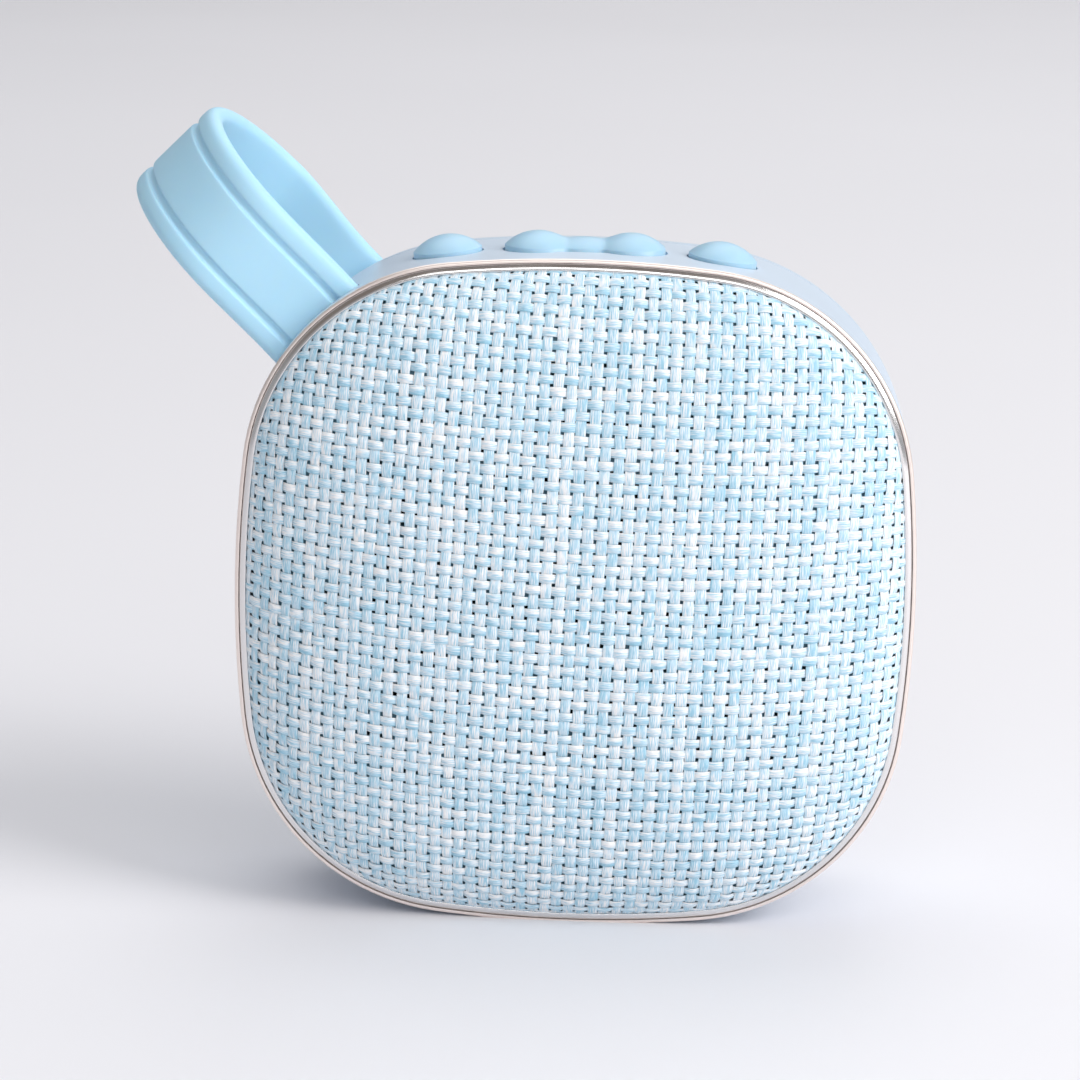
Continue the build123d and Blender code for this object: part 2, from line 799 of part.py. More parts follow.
# Terminal tab on the outside of the basket's wall, under the driver
tab_radius = basket_waist + (tab_front - floor_front) * wall_slope
wall_lean = degrees(atan2(wall_slope, 1))
tab_normal = Vector(0, 0, -1).rotate(Axis.X, wall_lean)
tab_plane = Plane(
    origin=Vector(0, -tab_front, case_centre - tab_radius) + tab_normal * glue_gap,
    x_dir=(1, 0, 0),
    z_dir=tab_normal,
)
with BuildPart() as driver_terminals:
    with BuildSketch(tab_plane):
        Rectangle(tab_width, tab_length)
    extrude(amount=tab_thickness)
driver_terminals.part.label = "driver_terminals"
export_step(driver_terminals.part, "parts/driver_terminals.step")


def outer_key(side):
    """Round key: lens dome outside, flange behind the wall and a stem towards its switch."""
    seat = key_plane(side)
    flange_face = -case_wall - key_flange_drop
    stem_end = (plunger_top - key_height) / cos(radians(key_lean)) + key_travel + key_stem_gap
    dome_radius = (key_radius**2 + key_dome_height**2) / (2 * key_dome_height)
    profile = Plane(origin=seat.origin, x_dir=seat.x_dir, z_dir=-seat.y_dir)
    with BuildPart() as key:
        with BuildSketch(profile):
            with BuildLine():
                Line((0, flange_face), (0, key_edge_height + key_dome_height))
                RadiusArc((0, key_edge_height + key_dome_height), (key_radius, key_edge_height), dome_radius)
                Polyline(
                    (key_radius, key_edge_height),
                    (key_radius, flange_face),
                    (0, flange_face),
                )
            make_face()
        revolve(axis=Axis(seat.origin, seat.z_dir))
        with BuildSketch(seat.offset(flange_face)):
            Circle(key_radius + key_flange_width)
        extrude(amount=-key_flange_depth)
        with BuildSketch(seat.offset(flange_face - key_flange_depth)):
            Circle(key_stem_radius)
        extrude(amount=stem_end - flange_face + key_flange_depth)
    return key.part


with BuildPart() as left_key:
    add(outer_key(-1))
left_key.part.label = "left_key"
export_step(left_key.part, "parts/left_key.step")

with BuildPart() as right_key:
    add(outer_key(1))
right_key.part.label = "right_key"
export_step(right_key.part, "parts/right_key.step")

# Rocker key: two lobes on one saddle that tips on a rib over the fulcrum
rocker_flange_face = face_half - case_wall - rocker_flange_drop
rocker_flange_foot = rocker_flange_face - key_flange_depth
pivot_height = face_half - case_wall - rocker_pivot_drop
lobe_base = case_edge(rocker_lobe_spread)[0] + key_edge_height
lobe_dome_radius = (rocker_lobe_radius**2 + rocker_dome_height**2) / (2 * rocker_dome_height)
with BuildPart() as rocker_key:
    with BuildSketch(level(rocker_flange_face)):
        add(rocker_outline())
    extrude(amount=lobe_base - rocker_flange_face)
    for side in (-1, 1):
        lobe_section = Plane(
            origin=(side * rocker_lobe_spread, 0, case_centre + lobe_base),
            x_dir=(1, 0, 0),
            z_dir=(0, -1, 0),
        )
        with BuildSketch(lobe_section):
            with BuildLine():
                Line((0, 0), (0, rocker_dome_height))
                RadiusArc((0, rocker_dome_height), (rocker_lobe_radius, 0), lobe_dome_radius)
                Line((rocker_lobe_radius, 0), (0, 0))
            make_face()
        revolve(axis=Axis(lobe_section.origin, (0, 0, 1)))
    with BuildSketch(Plane.YZ.offset(-rocker_lobe_spread)):
        with BuildLine():
            saddle_base = case_centre + lobe_base
            Line((-rocker_waist_half, saddle_base), (rocker_waist_half, saddle_base))
            ThreePointArc(
                (rocker_waist_half, saddle_base),
                (0, saddle_base + rocker_waist_height),
                (-rocker_waist_half, saddle_base),
            )
        make_face()
    extrude(amount=2 * rocker_lobe_spread)
    with BuildSketch(level(rocker_flange_face)):
        add(rocker_outline(key_flange_width))
    extrude(amount=-key_flange_depth)
    with BuildSketch(level(rocker_flange_foot)):
        with Locations((-rocker_lobe_spread, 0), (rocker_lobe_spread, 0)):
            Circle(key_stem_radius)
    extrude(amount=plunger_top + rocker_stem_gap - rocker_flange_foot)
    with BuildSketch(Plane.XZ.offset(-rocker_rib_length / 2)):
        with Locations((0, case_centre + pivot_height)):
            Circle(rocker_rib_radius)
        with Locations((0, case_centre + (rocker_flange_foot + pivot_height) / 2)):
            Rectangle(2 * rocker_rib_radius, rocker_flange_foot - pivot_height)
    extrude(amount=rocker_rib_length)
rocker_key.part.label = "rocker_key"
export_step(rocker_key.part, "parts/rocker_key.step")

# Key board, hung from two bosses under the case's top
switch_spread = key_spread - (key_height - plunger_top) * sin(radians(key_lean))
switch_places = [
    (x, 0) for x in (-switch_spread, -rocker_lobe_spread, rocker_lobe_spread, switch_spread)
]
with BuildPart() as key_board:
    with BuildSketch(level(key_board_top)):
        RectangleRounded(2 * key_board_half, key_board_width, board_thickness)
        with Locations(*key_boss_places):
            Circle(small_shank_radius + fit_gap, mode=Mode.SUBTRACT)
    extrude(amount=-board_thickness)
key_board.part.label = "key_board"
export_step(key_board.part, "parts/key_board.step")

with BuildPart() as key_switches:
    with BuildSketch(level(key_board_top)):
        with Locations(*switch_places):
            Rectangle(switch_size, switch_size)
    extrude(amount=switch_body_height)
    with BuildSketch(level(key_board_top + switch_body_height)):
        with Locations(*switch_places):
            Circle(plunger_radius)
    extrude(amount=plunger_height)
key_switches.part.label = "key_switches"
export_step(key_switches.part, "parts/key_switches.step")

with BuildPart() as rocker_fulcrum:
    with BuildSketch(level(key_board_top)):
        Rectangle(fulcrum_width, fulcrum_length)
    extrude(amount=pivot_height - rocker_rib_radius - glue_gap - key_board_top)
rocker_fulcrum.part.label = "rocker_fulcrum"
export_step(rocker_fulcrum.part, "parts/rocker_fulcrum.step")

board_under = Plane(
    origin=(0, 0, case_centre + key_board_top - board_thickness), x_dir=(1, 0, 0), z_dir=(0, 0, -1)
)
with BuildPart() as key_board_screws:
    add(
        screws(
            board_under,
            key_boss_places,
            small_head_radius,
            small_head_depth,
            small_shank_radius,
            small_shank_length,
        )
    )
key_board_screws.part.label = "key_board_screws"
export_step(key_board_screws.part, "parts/key_board_screws.step")

# Main board, lying flat on two posts, with its sockets facing the back
board_middle = main_board_depth / 2 - board_front
with BuildPart() as main_board:
    with BuildSketch(level(-main_board_drop)):
        with Locations((0, board_middle)):
            RectangleRounded(main_board_width, main_board_depth, board_thickness)
        with Locations(*board_screw_places):
            Circle(small_shank_radius + fit_gap, mode=Mode.SUBTRACT)
    extrude(amount=-board_thickness)
main_board.part.label = "main_board"
export_step(main_board.part, "parts/main_board.step")

with BuildPart() as main_board_screws:
    add(
        screws(
            level(-main_board_drop),
            board_screw_places,
            small_head_radius,
            small_head_depth,
            small_shank_radius,
            small_shank_length,
        )
    )
main_board_screws.part.label = "main_board_screws"
export_step(main_board_screws.part, "parts/main_board_screws.step")

mouth_face = back_face + panel_depth + mouth_setback

with BuildPart() as usb_socket:
    with BuildSketch(front.offset(mouth_face)):
        with Locations((usb_across, usb_height / 2 - main_board_drop)):
            RectangleRounded(usb_width, usb_height, usb_height / 4)
    extrude(amount=usb_depth)
    with BuildSketch(front.offset(mouth_face)):
        with Locations((usb_across, usb_height / 2 - main_board_drop)):
            RectangleRounded(usb_width - 2 * usb_wall, usb_height - 2 * usb_wall, usb_height / 5)
    extrude(amount=usb_depth - 2 * usb_wall, mode=Mode.SUBTRACT)
    with BuildSketch(front.offset(mouth_face + usb_wall)):
        with Locations((usb_across, usb_height / 2 - main_board_drop)):
            Rectangle(usb_tongue_share * usb_width, usb_tongue)
    extrude(amount=usb_depth - 2 * usb_wall)
usb_socket.part.label = "usb_socket"
export_step(usb_socket.part, "parts/usb_socket.step")

aux_up = aux_height / 2 - main_board_drop
with BuildPart() as audio_socket:
    with BuildSketch(front.offset(inner_back + fit_gap)):
        with Locations((aux_across, aux_up)):
            RectangleRounded(aux_width, aux_height, usb_wall)
    extrude(amount=aux_depth)
    with BuildSketch(front.offset(mouth_face)):
        with Locations((aux_across, aux_up)):
            Circle(aux_nose_radius)
    extrude(amount=inner_back + fit_gap - mouth_face)
    with BuildSketch(front.offset(mouth_face)):
        with Locations((aux_across, aux_up)):
            Circle(aux_bore_radius)
    extrude(amount=aux_bore_length, mode=Mode.SUBTRACT)
audio_socket.part.label = "audio_socket"
export_step(audio_socket.part, "parts/audio_socket.step")

with BuildPart() as card_socket:
    with BuildSketch(front.offset(inner_back + fit_gap)):
        with Locations((card_across, card_height / 2 - main_board_drop)):
            Rectangle(card_width, card_height)
    extrude(amount=card_depth)
    with BuildSketch(front.offset(inner_back + fit_gap)):
        with Locations((card_across, card_height / 2 - main_board_drop)):
            Rectangle(card_slot_width, card_slot_height)
    extrude(amount=card_slot_depth, mode=Mode.SUBTRACT)
card_socket.part.label = "card_socket"
export_step(card_socket.part, "parts/card_socket.step")

led_front = inner_back + board_wall_gap + led_depth
with BuildPart() as status_led:
    with BuildSketch(front.offset(led_front)):
        with Locations((led_across, led_height / 2 - main_board_drop)):
            Rectangle(led_width, led_height)
    extrude(amount=-led_depth)
status_led.part.label = "status_led"
export_step(status_led.part, "parts/status_led.step")

with BuildPart() as light_pipe:
    with BuildSketch(front.offset(led_front - led_depth)):
        with Locations((led_across, led_height / 2 - main_board_drop)):
            Circle(pipe_radius)
    extrude(amount=back_face + panel_depth - led_front + led_depth)
light_pipe.part.label = "light_pipe"
export_step(light_pipe.part, "parts/light_pipe.step")

with BuildPart() as microphone:
    with BuildSketch(level(-main_board_drop)):
        with Locations((mic_across, -inner_back - board_wall_gap - mic_length / 2)):
            Rectangle(mic_width, mic_length)
    extrude(amount=mic_height)
microphone.part.label = "microphone"
export_step(microphone.part, "parts/microphone.step")

with BuildPart() as radio_module:
    with BuildSketch(level(-main_board_drop - board_thickness)):
        with Locations((-module_across, board_middle)):
            RectangleRounded(module_width, module_depth, board_thickness)
    extrude(amount=-module_height)
radio_module.part.label = "radio_module"
export_step(radio_module.part, "parts/radio_module.step")

# Battery: one round cell in the rear cover's cradle, with a foam pad behind it
with BuildPart() as battery_cell:
    with BuildSketch(Plane.YZ.offset(-cell_length / 2)):
        with Locations((cell_back, case_centre + cell_up)):
            Circle(cell_radius)
    extrude(amount=cell_length - cell_cap_height)
    with BuildSketch(Plane.YZ.offset(cell_length / 2 - cell_cap_height)):
        with Locations((cell_back, case_centre + cell_up)):
            Circle(cell_cap_radius)
    extrude(amount=cell_cap_height)
battery_cell.part.label = "battery_cell"
export_step(battery_cell.part, "parts/battery_cell.step")

with BuildPart() as battery_foam:
    with BuildSketch(front.offset(inner_back)):
        with Locations((0, cell_up)):
            Rectangle(foam_width, foam_height)
    extrude(amount=-cell_back - cell_radius - fit_gap - inner_back)
battery_foam.part.label = "battery_foam"
export_step(battery_foam.part, "parts/battery_foam.step")

# Case screws from the back, in wells closed by soft plugs
with BuildPart() as rear_screws:
    add(
        screws(
            Plane(
                origin=(0, -back_face - well_depth, case_centre), x_dir=(-1, 0, 0), z_dir=(0, 1, 0)
            ),
            post_places,
            case_head_radius,
            case_head_depth,
            case_shank_radius,
            case_shank_length,
        )
    )
rear_screws.part.label = "rear_screws"
export_step(rear_screws.part, "parts/rear_screws.step")

with BuildPart() as screw_plugs:
    with BuildSketch(front.offset(back_face)):
        with Locations(*post_places):
            Circle(well_radius - glue_gap)
    extrude(amount=cap_plug_depth)
screw_plugs.part.label = "screw_plugs"
export_step(screw_plugs.part, "parts/screw_plugs.step")

# Speaker leads: from the terminal tab straight down to the main board
lead_start = tab_plane.origin + tab_plane.z_dir * tab_thickness
with BuildPart() as speaker_leads:
    for across in (-speaker_lead_spread, speaker_lead_spread):
        with BuildSketch(level(-main_board_drop)):
            with Locations((across, lead_start.Y)):
                Circle(lead_radius)
        extrude(amount=lead_start.Z - case_centre + main_board_drop - lead_radius)
speaker_leads.part.label = "speaker_leads"
export_step(speaker_leads.part, "parts/speaker_leads.step")

# Battery leads: out of the cell's end, down beside the driver and onto the main board
lead_across = -cell_length / 2 - battery_lead_out
with BuildPart() as battery_leads:
    for spread in (-battery_lead_spread, battery_lead_spread):
        back = cell_back + spread
        with BuildLine() as lead_path:
            FilletPolyline(
                (-cell_length / 2, back, case_centre + cell_up),
                (lead_across, back, case_centre + cell_up),
                (lead_across, back, case_centre - main_board_drop),
                radius=battery_lead_out - lead_radius,
            )
        with BuildSketch(Plane.YZ.offset(-cell_length / 2)):
            with Locations((back, case_centre + cell_up)):
                Circle(lead_radius)
        sweep(path=lead_path.wires()[0])
battery_leads.part.label = "battery_leads"
export_step(battery_leads.part, "parts/battery_leads.step")

# Ribbon between the key board and the main board
with BuildPart() as key_ribbon:
    with BuildSketch(level(-main_board_drop)):
        with Locations((ribbon_across, key_board_width / 2 - ribbon_width / 2)):
            Rectangle(ribbon_thickness, ribbon_width)
    extrude(amount=main_board_drop + key_board_top - board_thickness)
key_ribbon.part.label = "key_ribbon"
export_step(key_ribbon.part, "parts/key_ribbon.step")

# Wrist strap: one loop with beaded edges, hooked behind both case shells
loop_top = corner_reach + strap_loop_height
bulge = corner_reach + strap_bulge_height
loop_front = ring_face - strap_front_setback
loop_rear = loop_front - strap_loop_depth
front_end = corner_reach - strap_front_end
rear_end = corner_reach - strap_rear_end


def strap_region(inset):
    """Everything inside the loop's outer line, drawn in by inset; x runs out of the corner."""
    front_line = front_root_face - inset
    rear_line = rear_root_face + inset
    with BuildSketch() as region:
        with BuildLine():
            Line((front_end - inset, front_line), (corner_reach, front_line))
            Spline(
                (corner_reach, front_line),
                (bulge, loop_front - inset),
                tangents=[(1, 0), (1, 0)],
            )
            EllipticalCenterArc(
                (bulge, (loop_front + loop_rear) / 2),
                loop_top - bulge - inset,
                strap_loop_depth / 2 - inset,
                start_angle=-90,
                arc_size=180,
            )
            Spline(
                (bulge, loop_rear + inset),
                (corner_reach, rear_line),
                tangents=[(-1, 0), (-1, 0)],
            )
            Polyline(
                (corner_reach, rear_line),
                (rear_end - inset, rear_line),
                (rear_end - inset, 0),
                (front_end - inset, 0),
                (front_end - inset, front_line),
            )
        make_face()
    return region.sketch


with BuildPart() as wrist_strap:
    with BuildSketch(strap_side):
        add(strap_region(0))
        add(strap_region(strap_thickness), mode=Mode.SUBTRACT)
    extrude(amount=strap_width / 2, both=True)
    for rim in wrist_strap.faces().filter_by(strap_side):
        fillet(rim.edges().filter_by(lambda edge: edge.length > 1.2 * strap_thickness), strap_edge_round)
    for side in (-1, 1):
        middle = side * strap_groove_spread - strap_groove_width / 2
        with BuildSketch(strap_side.offset(middle)):
            add(strap_region(-strap_groove_depth))
            add(strap_region(strap_groove_depth), mode=Mode.SUBTRACT)
            with Locations((0, 0)):
                Rectangle(2 * corner_reach, 2 * case_depth, mode=Mode.SUBTRACT)
        extrude(amount=strap_groove_width, mode=Mode.SUBTRACT)
    with BuildSketch(strap_side):
        with Locations((front_end - strap_hook_height / 2, front_root_face - strap_hook_depth / 2)):
            Rectangle(strap_hook_height, strap_hook_depth)
        with Locations((rear_end - strap_hook_height / 2, rear_root_face + strap_hook_depth / 2)):
            Rectangle(strap_hook_height, strap_hook_depth)
    extrude(amount=strap_width / 2 - strap_hook_side, both=True)
wrist_strap.part.label = "wrist_strap"
export_step(wrist_strap.part, "parts/wrist_strap.step")
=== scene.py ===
from math import atan2, cos, pi, radians, sin, sqrt

import bpy
import numpy as np
from mathutils import Matrix, Vector


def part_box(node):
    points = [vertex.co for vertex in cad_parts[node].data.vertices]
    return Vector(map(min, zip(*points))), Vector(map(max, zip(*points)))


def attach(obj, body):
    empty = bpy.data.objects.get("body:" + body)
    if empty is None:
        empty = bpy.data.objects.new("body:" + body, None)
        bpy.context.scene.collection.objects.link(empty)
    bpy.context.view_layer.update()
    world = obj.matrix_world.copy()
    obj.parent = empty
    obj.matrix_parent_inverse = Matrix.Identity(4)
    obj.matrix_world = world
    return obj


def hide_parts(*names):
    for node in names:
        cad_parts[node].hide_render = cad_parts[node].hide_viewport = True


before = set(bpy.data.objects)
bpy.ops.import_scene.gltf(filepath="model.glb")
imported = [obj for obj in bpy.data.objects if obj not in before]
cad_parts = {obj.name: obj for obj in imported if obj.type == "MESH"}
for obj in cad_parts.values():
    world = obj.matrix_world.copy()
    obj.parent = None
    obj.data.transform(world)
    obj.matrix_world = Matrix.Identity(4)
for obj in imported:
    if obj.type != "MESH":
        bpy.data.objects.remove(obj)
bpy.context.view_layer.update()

# Woven front
# A plain weave of flat fibrous yarns in two pale tones, stretched over the domed grille and
# turned down inside the ring. Each yarn is its own ribbon, over one crossing and under the next.
MM = 0.001
TINY = 1e-9
case_middle = 0.04265
face_half, side_arc, corner_arc = 43.0, 154.0, 28.5
ring_front = 10.0
cloth_inset, cloth_rise = 1.42, 10.0
dome_power, dome_fullness = 2.2, 0.62
warp_pitch, weft_pitch = 1.60, 1.46
weave_turn, weave_bow = radians(-1.7), 0.001
warp_wave, warp_crown, warp_half = 0.12, 0.09, 0.405
weft_wave, weft_crown, weft_half = 0.20, 0.17, 0.395
# Half the stretch that the yarns are laid over, and half of each yarn's length before it is cut
laid_half, yarn_half = 46.0, 48.0
points_per_crossing, fewest_points = 6, 6
place_scatter, place_sway, place_sway_rate = 0.025, 0.05, 0.45
width_by_wave, width_scatter, width_sway, width_sway_rate = 0.012, 0.012, 0.015, 1.7
height_scatter, any_phase = 0.01, 6.3
crown_share, crown_power, cloth_sink = 0.3, 2.6, 0.29
# Shares of the way to the ring where the yarns start to be pressed flat and where they end
press_start, press_length, cloth_end = 0.965, 0.03, 1.03
press_flattens, press_lifts = 0.75, 0.22
# Each yarn takes its fibres from another place in the noise
fibre_jump, fibre_jumps = 200.0, 97
side_drop = side_arc - face_half
corner_middle = (sqrt(2 * (side_arc - corner_arc) ** 2 - side_drop**2) - side_drop) / 2
side_turn = atan2(corner_middle, corner_middle + side_drop)


def outline_reach(across, up, inset):
    """Distance from the middle to the case outline, drawn in by inset, towards (across, up)."""
    far, near = np.maximum(abs(across), abs(up)), np.minimum(abs(across), abs(up))
    length = np.maximum(np.hypot(far, near), TINY)
    dx, dy = far / length, near / length
    corner_start = np.array((corner_middle + (corner_arc - inset) * cos(side_turn),
                             corner_middle + (corner_arc - inset) * sin(side_turn)))
    on_corner = dy * corner_start[0] > dx * corner_start[1]
    middle_x = np.where(on_corner, corner_middle, -side_drop)
    middle_y = np.where(on_corner, corner_middle, 0.0)
    radius = np.where(on_corner, corner_arc - inset, side_arc - inset)
    along = middle_x * dx + middle_y * dy
    return along + np.sqrt(radius**2 - middle_x**2 - middle_y**2 + along**2)


def front_dome(across, up, inset, rise):
    """Points of a crowned front: the dome inside the outline, and straight back outside it."""
    reach = outline_reach(across, up, inset)
    share = np.hypot(across, up) / reach
    inside = np.minimum(share, 1.0)
    shrink = np.where(share > 1.0, 1.0 / np.maximum(share, TINY), 1.0)
    crown = rise * (1 - inside**dome_power) ** dome_fullness
    depth = ring_front + crown - np.maximum(share - 1.0, 0.0) * reach
    return np.stack((across * shrink, -depth, up * shrink), -1)


# The cloth keeps its length over the dome, so its yarns crowd towards the rim as seen from ahead
mean_reach, places_out, crowd_power = 42.0, 400, 2.5
dome_share = 1 - (1 - np.linspace(0.0, 1.0, places_out)) ** crowd_power
dome_height = cloth_rise * (1 - dome_share**dome_power) ** dome_fullness
cloth_steps = np.hypot(np.diff(dome_share), np.diff(dome_height) / mean_reach)
cloth_share = np.concatenate(([0.0], np.cumsum(cloth_steps)))


def cloth_to_face(warp, weft):
    """Where a place in the weave, counted in yarns, lies across and up the face."""
    across, up = warp * warp_pitch, weft * weft_pitch
    up = up + weave_bow * across**2
    across, up = (across * cos(weave_turn) - up * sin(weave_turn),
                  across * sin(weave_turn) + up * cos(weave_turn))
    flat = np.hypot(across, up) / outline_reach(across, up, cloth_inset)
    drawn_in = np.where(flat < cloth_share[-1], np.interp(flat, cloth_share, dome_share),
                        1.0 + flat - cloth_share[-1]) / np.maximum(flat, TINY)
    return across * drawn_in, up * drawn_in


def on_cloth(warp, weft, lift):
    """Points of the cloth lifted along its normal, in millimetres."""
    step = 0.02
    here = front_dome(*cloth_to_face(warp, weft), cloth_inset, cloth_rise)
    east = front_dome(*cloth_to_face(warp + step, weft), cloth_inset, cloth_rise)
    west = front_dome(*cloth_to_face(warp - step, weft), cloth_inset, cloth_rise)
    north = front_dome(*cloth_to_face(warp, weft + step), cloth_inset, cloth_rise)
    south = front_dome(*cloth_to_face(warp, weft - step), cloth_inset, cloth_rise)
    normal = np.cross(east - west, north - south)
    normal /= np.maximum(np.linalg.norm(normal, axis=-1, keepdims=True), TINY)
    return here + normal * lift[..., None]


def weave_ribbons(rng):
    """Vertices, faces, and per-vertex (along, across, yarn) values of every yarn."""
    points, faces, places = [], [], []
    offset, yarn = 0, 0
    across_steps = np.array((-1.0, -0.78, -0.42, 0.0, 0.42, 0.78, 1.0))
    for is_warp in (True, False):
        pitch_here, pitch_other = (warp_pitch, weft_pitch) if is_warp else (weft_pitch, warp_pitch)
        wave_depth, crown, half = (warp_wave, warp_crown, warp_half) if is_warp else (
            weft_wave, weft_crown, weft_half)
        count = int(laid_half / pitch_here)
        reach = int(yarn_half / pitch_other) * points_per_crossing
        along = np.arange(-reach, reach + 1) / points_per_crossing
        for index in range(-count, count + 1):
            yarn += 1
            line = (index + rng.normal(0, place_scatter)
                    + place_sway * np.sin(along * place_sway_rate + rng.uniform(0, any_phase)))
            over = np.cos(pi * (along + index + (0 if is_warp else 1)))
            centre = cloth_to_face(line, along) if is_warp else cloth_to_face(along, line)
            share = np.hypot(*centre) / outline_reach(*centre, cloth_inset)
            kept = np.where(share < cloth_end)[0]
            if len(kept) < fewest_points:
                continue
            first, last = kept[0], kept[-1] + 1
            run, wave, line = along[first:last], over[first:last], line[first:last]
            width = (half + width_by_wave * wave + rng.normal(0, width_scatter)
                     + width_sway * np.sin(run * width_sway_rate + rng.uniform(0, any_phase)))
            side = line[:, None] + width[:, None] * across_steps[None, :]
            run_grid = np.repeat(run[:, None], len(across_steps), 1)
            # Near the ring the yarns are pressed flat, and they go down behind its inner edge
            calm = np.clip((share[first:last, None] - press_start) / press_length, 0.0, 1.0)
            lift = (wave_depth * wave[:, None] * (1 - press_flattens * calm) + press_lifts * calm
                    - cloth_sink + crown * (crown_share - np.abs(across_steps[None, :]) ** crown_power)
                    + rng.normal(0, height_scatter))
            grid = on_cloth(side, run_grid, lift) if is_warp else on_cloth(run_grid, side, lift)
            rows, columns = grid.shape[:2]
            points.append(grid.reshape(-1, 3))
            place = np.stack((run_grid * pitch_other + fibre_jump * (yarn % fibre_jumps),
                              np.repeat(across_steps[None, :], rows, 0),
                              np.full(grid.shape[:2], yarn if is_warp else -yarn)), -1)
            places.append(place.reshape(-1, 3))
            corner = offset + (np.arange(rows - 1)[:, None] * columns + np.arange(columns - 1)).ravel()
            quad = np.stack((corner, corner + 1, corner + columns + 1, corner + columns), -1)
            faces.append(quad if is_warp else quad[:, ::-1])
            offset += rows * columns
    return np.concatenate(points), np.concatenate(faces), np.concatenate(places)


def mesh_piece(name, points, faces):
    """A smooth mesh object from points in millimetres over the case's middle."""
    mesh = bpy.data.meshes.new(name)
    mesh.from_pydata([(x * MM, y * MM, z * MM + case_middle) for x, y, z in points], [],
                     [tuple(int(i) for i in face) for face in faces])
    mesh.polygons.foreach_set("use_smooth", [True] * len(mesh.polygons))
    piece = bpy.data.objects.new(name, mesh)
    bpy.context.scene.collection.objects.link(piece)
    return piece


def new_material(name):
    """A material with its node tree, its shader and its output."""
    material = bpy.data.materials.new(name)
    material.use_nodes = True
    return material, material.node_tree, material.node_tree.nodes["Principled BSDF"]


def add_node(tree, kind, **values):
    """One node; keys name its properties, or its inputs where it has no such property."""
    made = tree.nodes.new(kind)
    for key, value in values.items():
        if hasattr(made, key):
            setattr(made, key, value)
        else:
            made.inputs[key.replace("_", " ")].default_value = value
    return made


def link(tree, *pairs):
    """Links each output to its input."""
    for source, target in pairs:
        tree.links.new(source, target)


def linear(*seen):
    """A colour seen as red, green and blue from 0 to 255, as the shader takes it."""
    shares = [value / 255 for value in seen]
    light = [share / 12.92 if share < 0.04045 else ((share + 0.055) / 1.055) ** 2.4 for share in shares]
    return (*light, 1.0)


ribbon_points, ribbon_faces, ribbon_places = weave_ribbons(np.random.default_rng(7))
woven_front = mesh_piece("woven_front", ribbon_points, ribbon_faces)
fibre_map = woven_front.data.uv_layers.new(name="fibre_map")
corner_vertices = np.zeros(len(woven_front.data.loops), np.int32)
woven_front.data.loops.foreach_get("vertex_index", corner_vertices)
fibre_map.data.foreach_set("uv", ribbon_places[corner_vertices][:, :2].astype(np.float32).ravel())
yarn_tone_and_shade = woven_front.data.attributes.new("yarn_tone_and_shade", "FLOAT", "POINT")
most_yarns, painted_shade_share = 400, 0.80
yarn_tones = np.random.default_rng(11).uniform(0, 1, most_yarns)
yarn_numbers = abs(ribbon_places[:, 2]).astype(int)
# Painted shade, as if lit from above: a weft yarn is paler along its upper edge and bluer along its lower
# one
painted_edge_shade = np.where(ribbon_places[:, 2] < 0, painted_shade_share * ribbon_places[:, 1], 0.0)
yarn_tone_and_shade.data.foreach_set("value", (yarn_tones[yarn_numbers] + painted_edge_shade).astype(np.float32))

woven_yarn, yarn_tree, yarn_shader = new_material("woven_yarn")
fibre_place = add_node(yarn_tree, "ShaderNodeUVMap", uv_map="fibre_map")
# Each yarn's random tone, with the painted shade across the weft yarns added in
tone = add_node(yarn_tree, "ShaderNodeAttribute", attribute_name="yarn_tone_and_shade")
# Slubs: patches of one tone a few crossings long, different in every yarn
slub_scale = add_node(yarn_tree, "ShaderNodeMapping", Scale=(0.34, 0.9, 1.0))
slub = add_node(yarn_tree, "ShaderNodeTexNoise", noise_dimensions="2D", Scale=1.0, Detail=2.0)
fibre_scale = add_node(yarn_tree, "ShaderNodeMapping", Scale=(0.55, 5.5, 1.0))
fibre = add_node(yarn_tree, "ShaderNodeTexNoise", noise_dimensions="2D", Scale=1.0, Detail=3.0,
                 Roughness=0.6)
hair_scale = add_node(yarn_tree, "ShaderNodeMapping", Scale=(1.2, 15.0, 1.0))
hair = add_node(yarn_tree, "ShaderNodeTexNoise", noise_dimensions="2D", Scale=1.0, Detail=2.0)
slub_share, tone_share, fibre_share = 0.34, 0.12, 0.90
sum_slub = add_node(yarn_tree, "ShaderNodeMath", operation="MULTIPLY_ADD")
sum_slub.inputs[1].default_value = slub_share
sum_slub.inputs[2].default_value = 0.0
sum_tone = add_node(yarn_tree, "ShaderNodeMath", operation="MULTIPLY_ADD")
sum_tone.inputs[1].default_value = tone_share
sum_fibre = add_node(yarn_tree, "ShaderNodeMath", operation="MULTIPLY_ADD")
sum_fibre.inputs[1].default_value = fibre_share
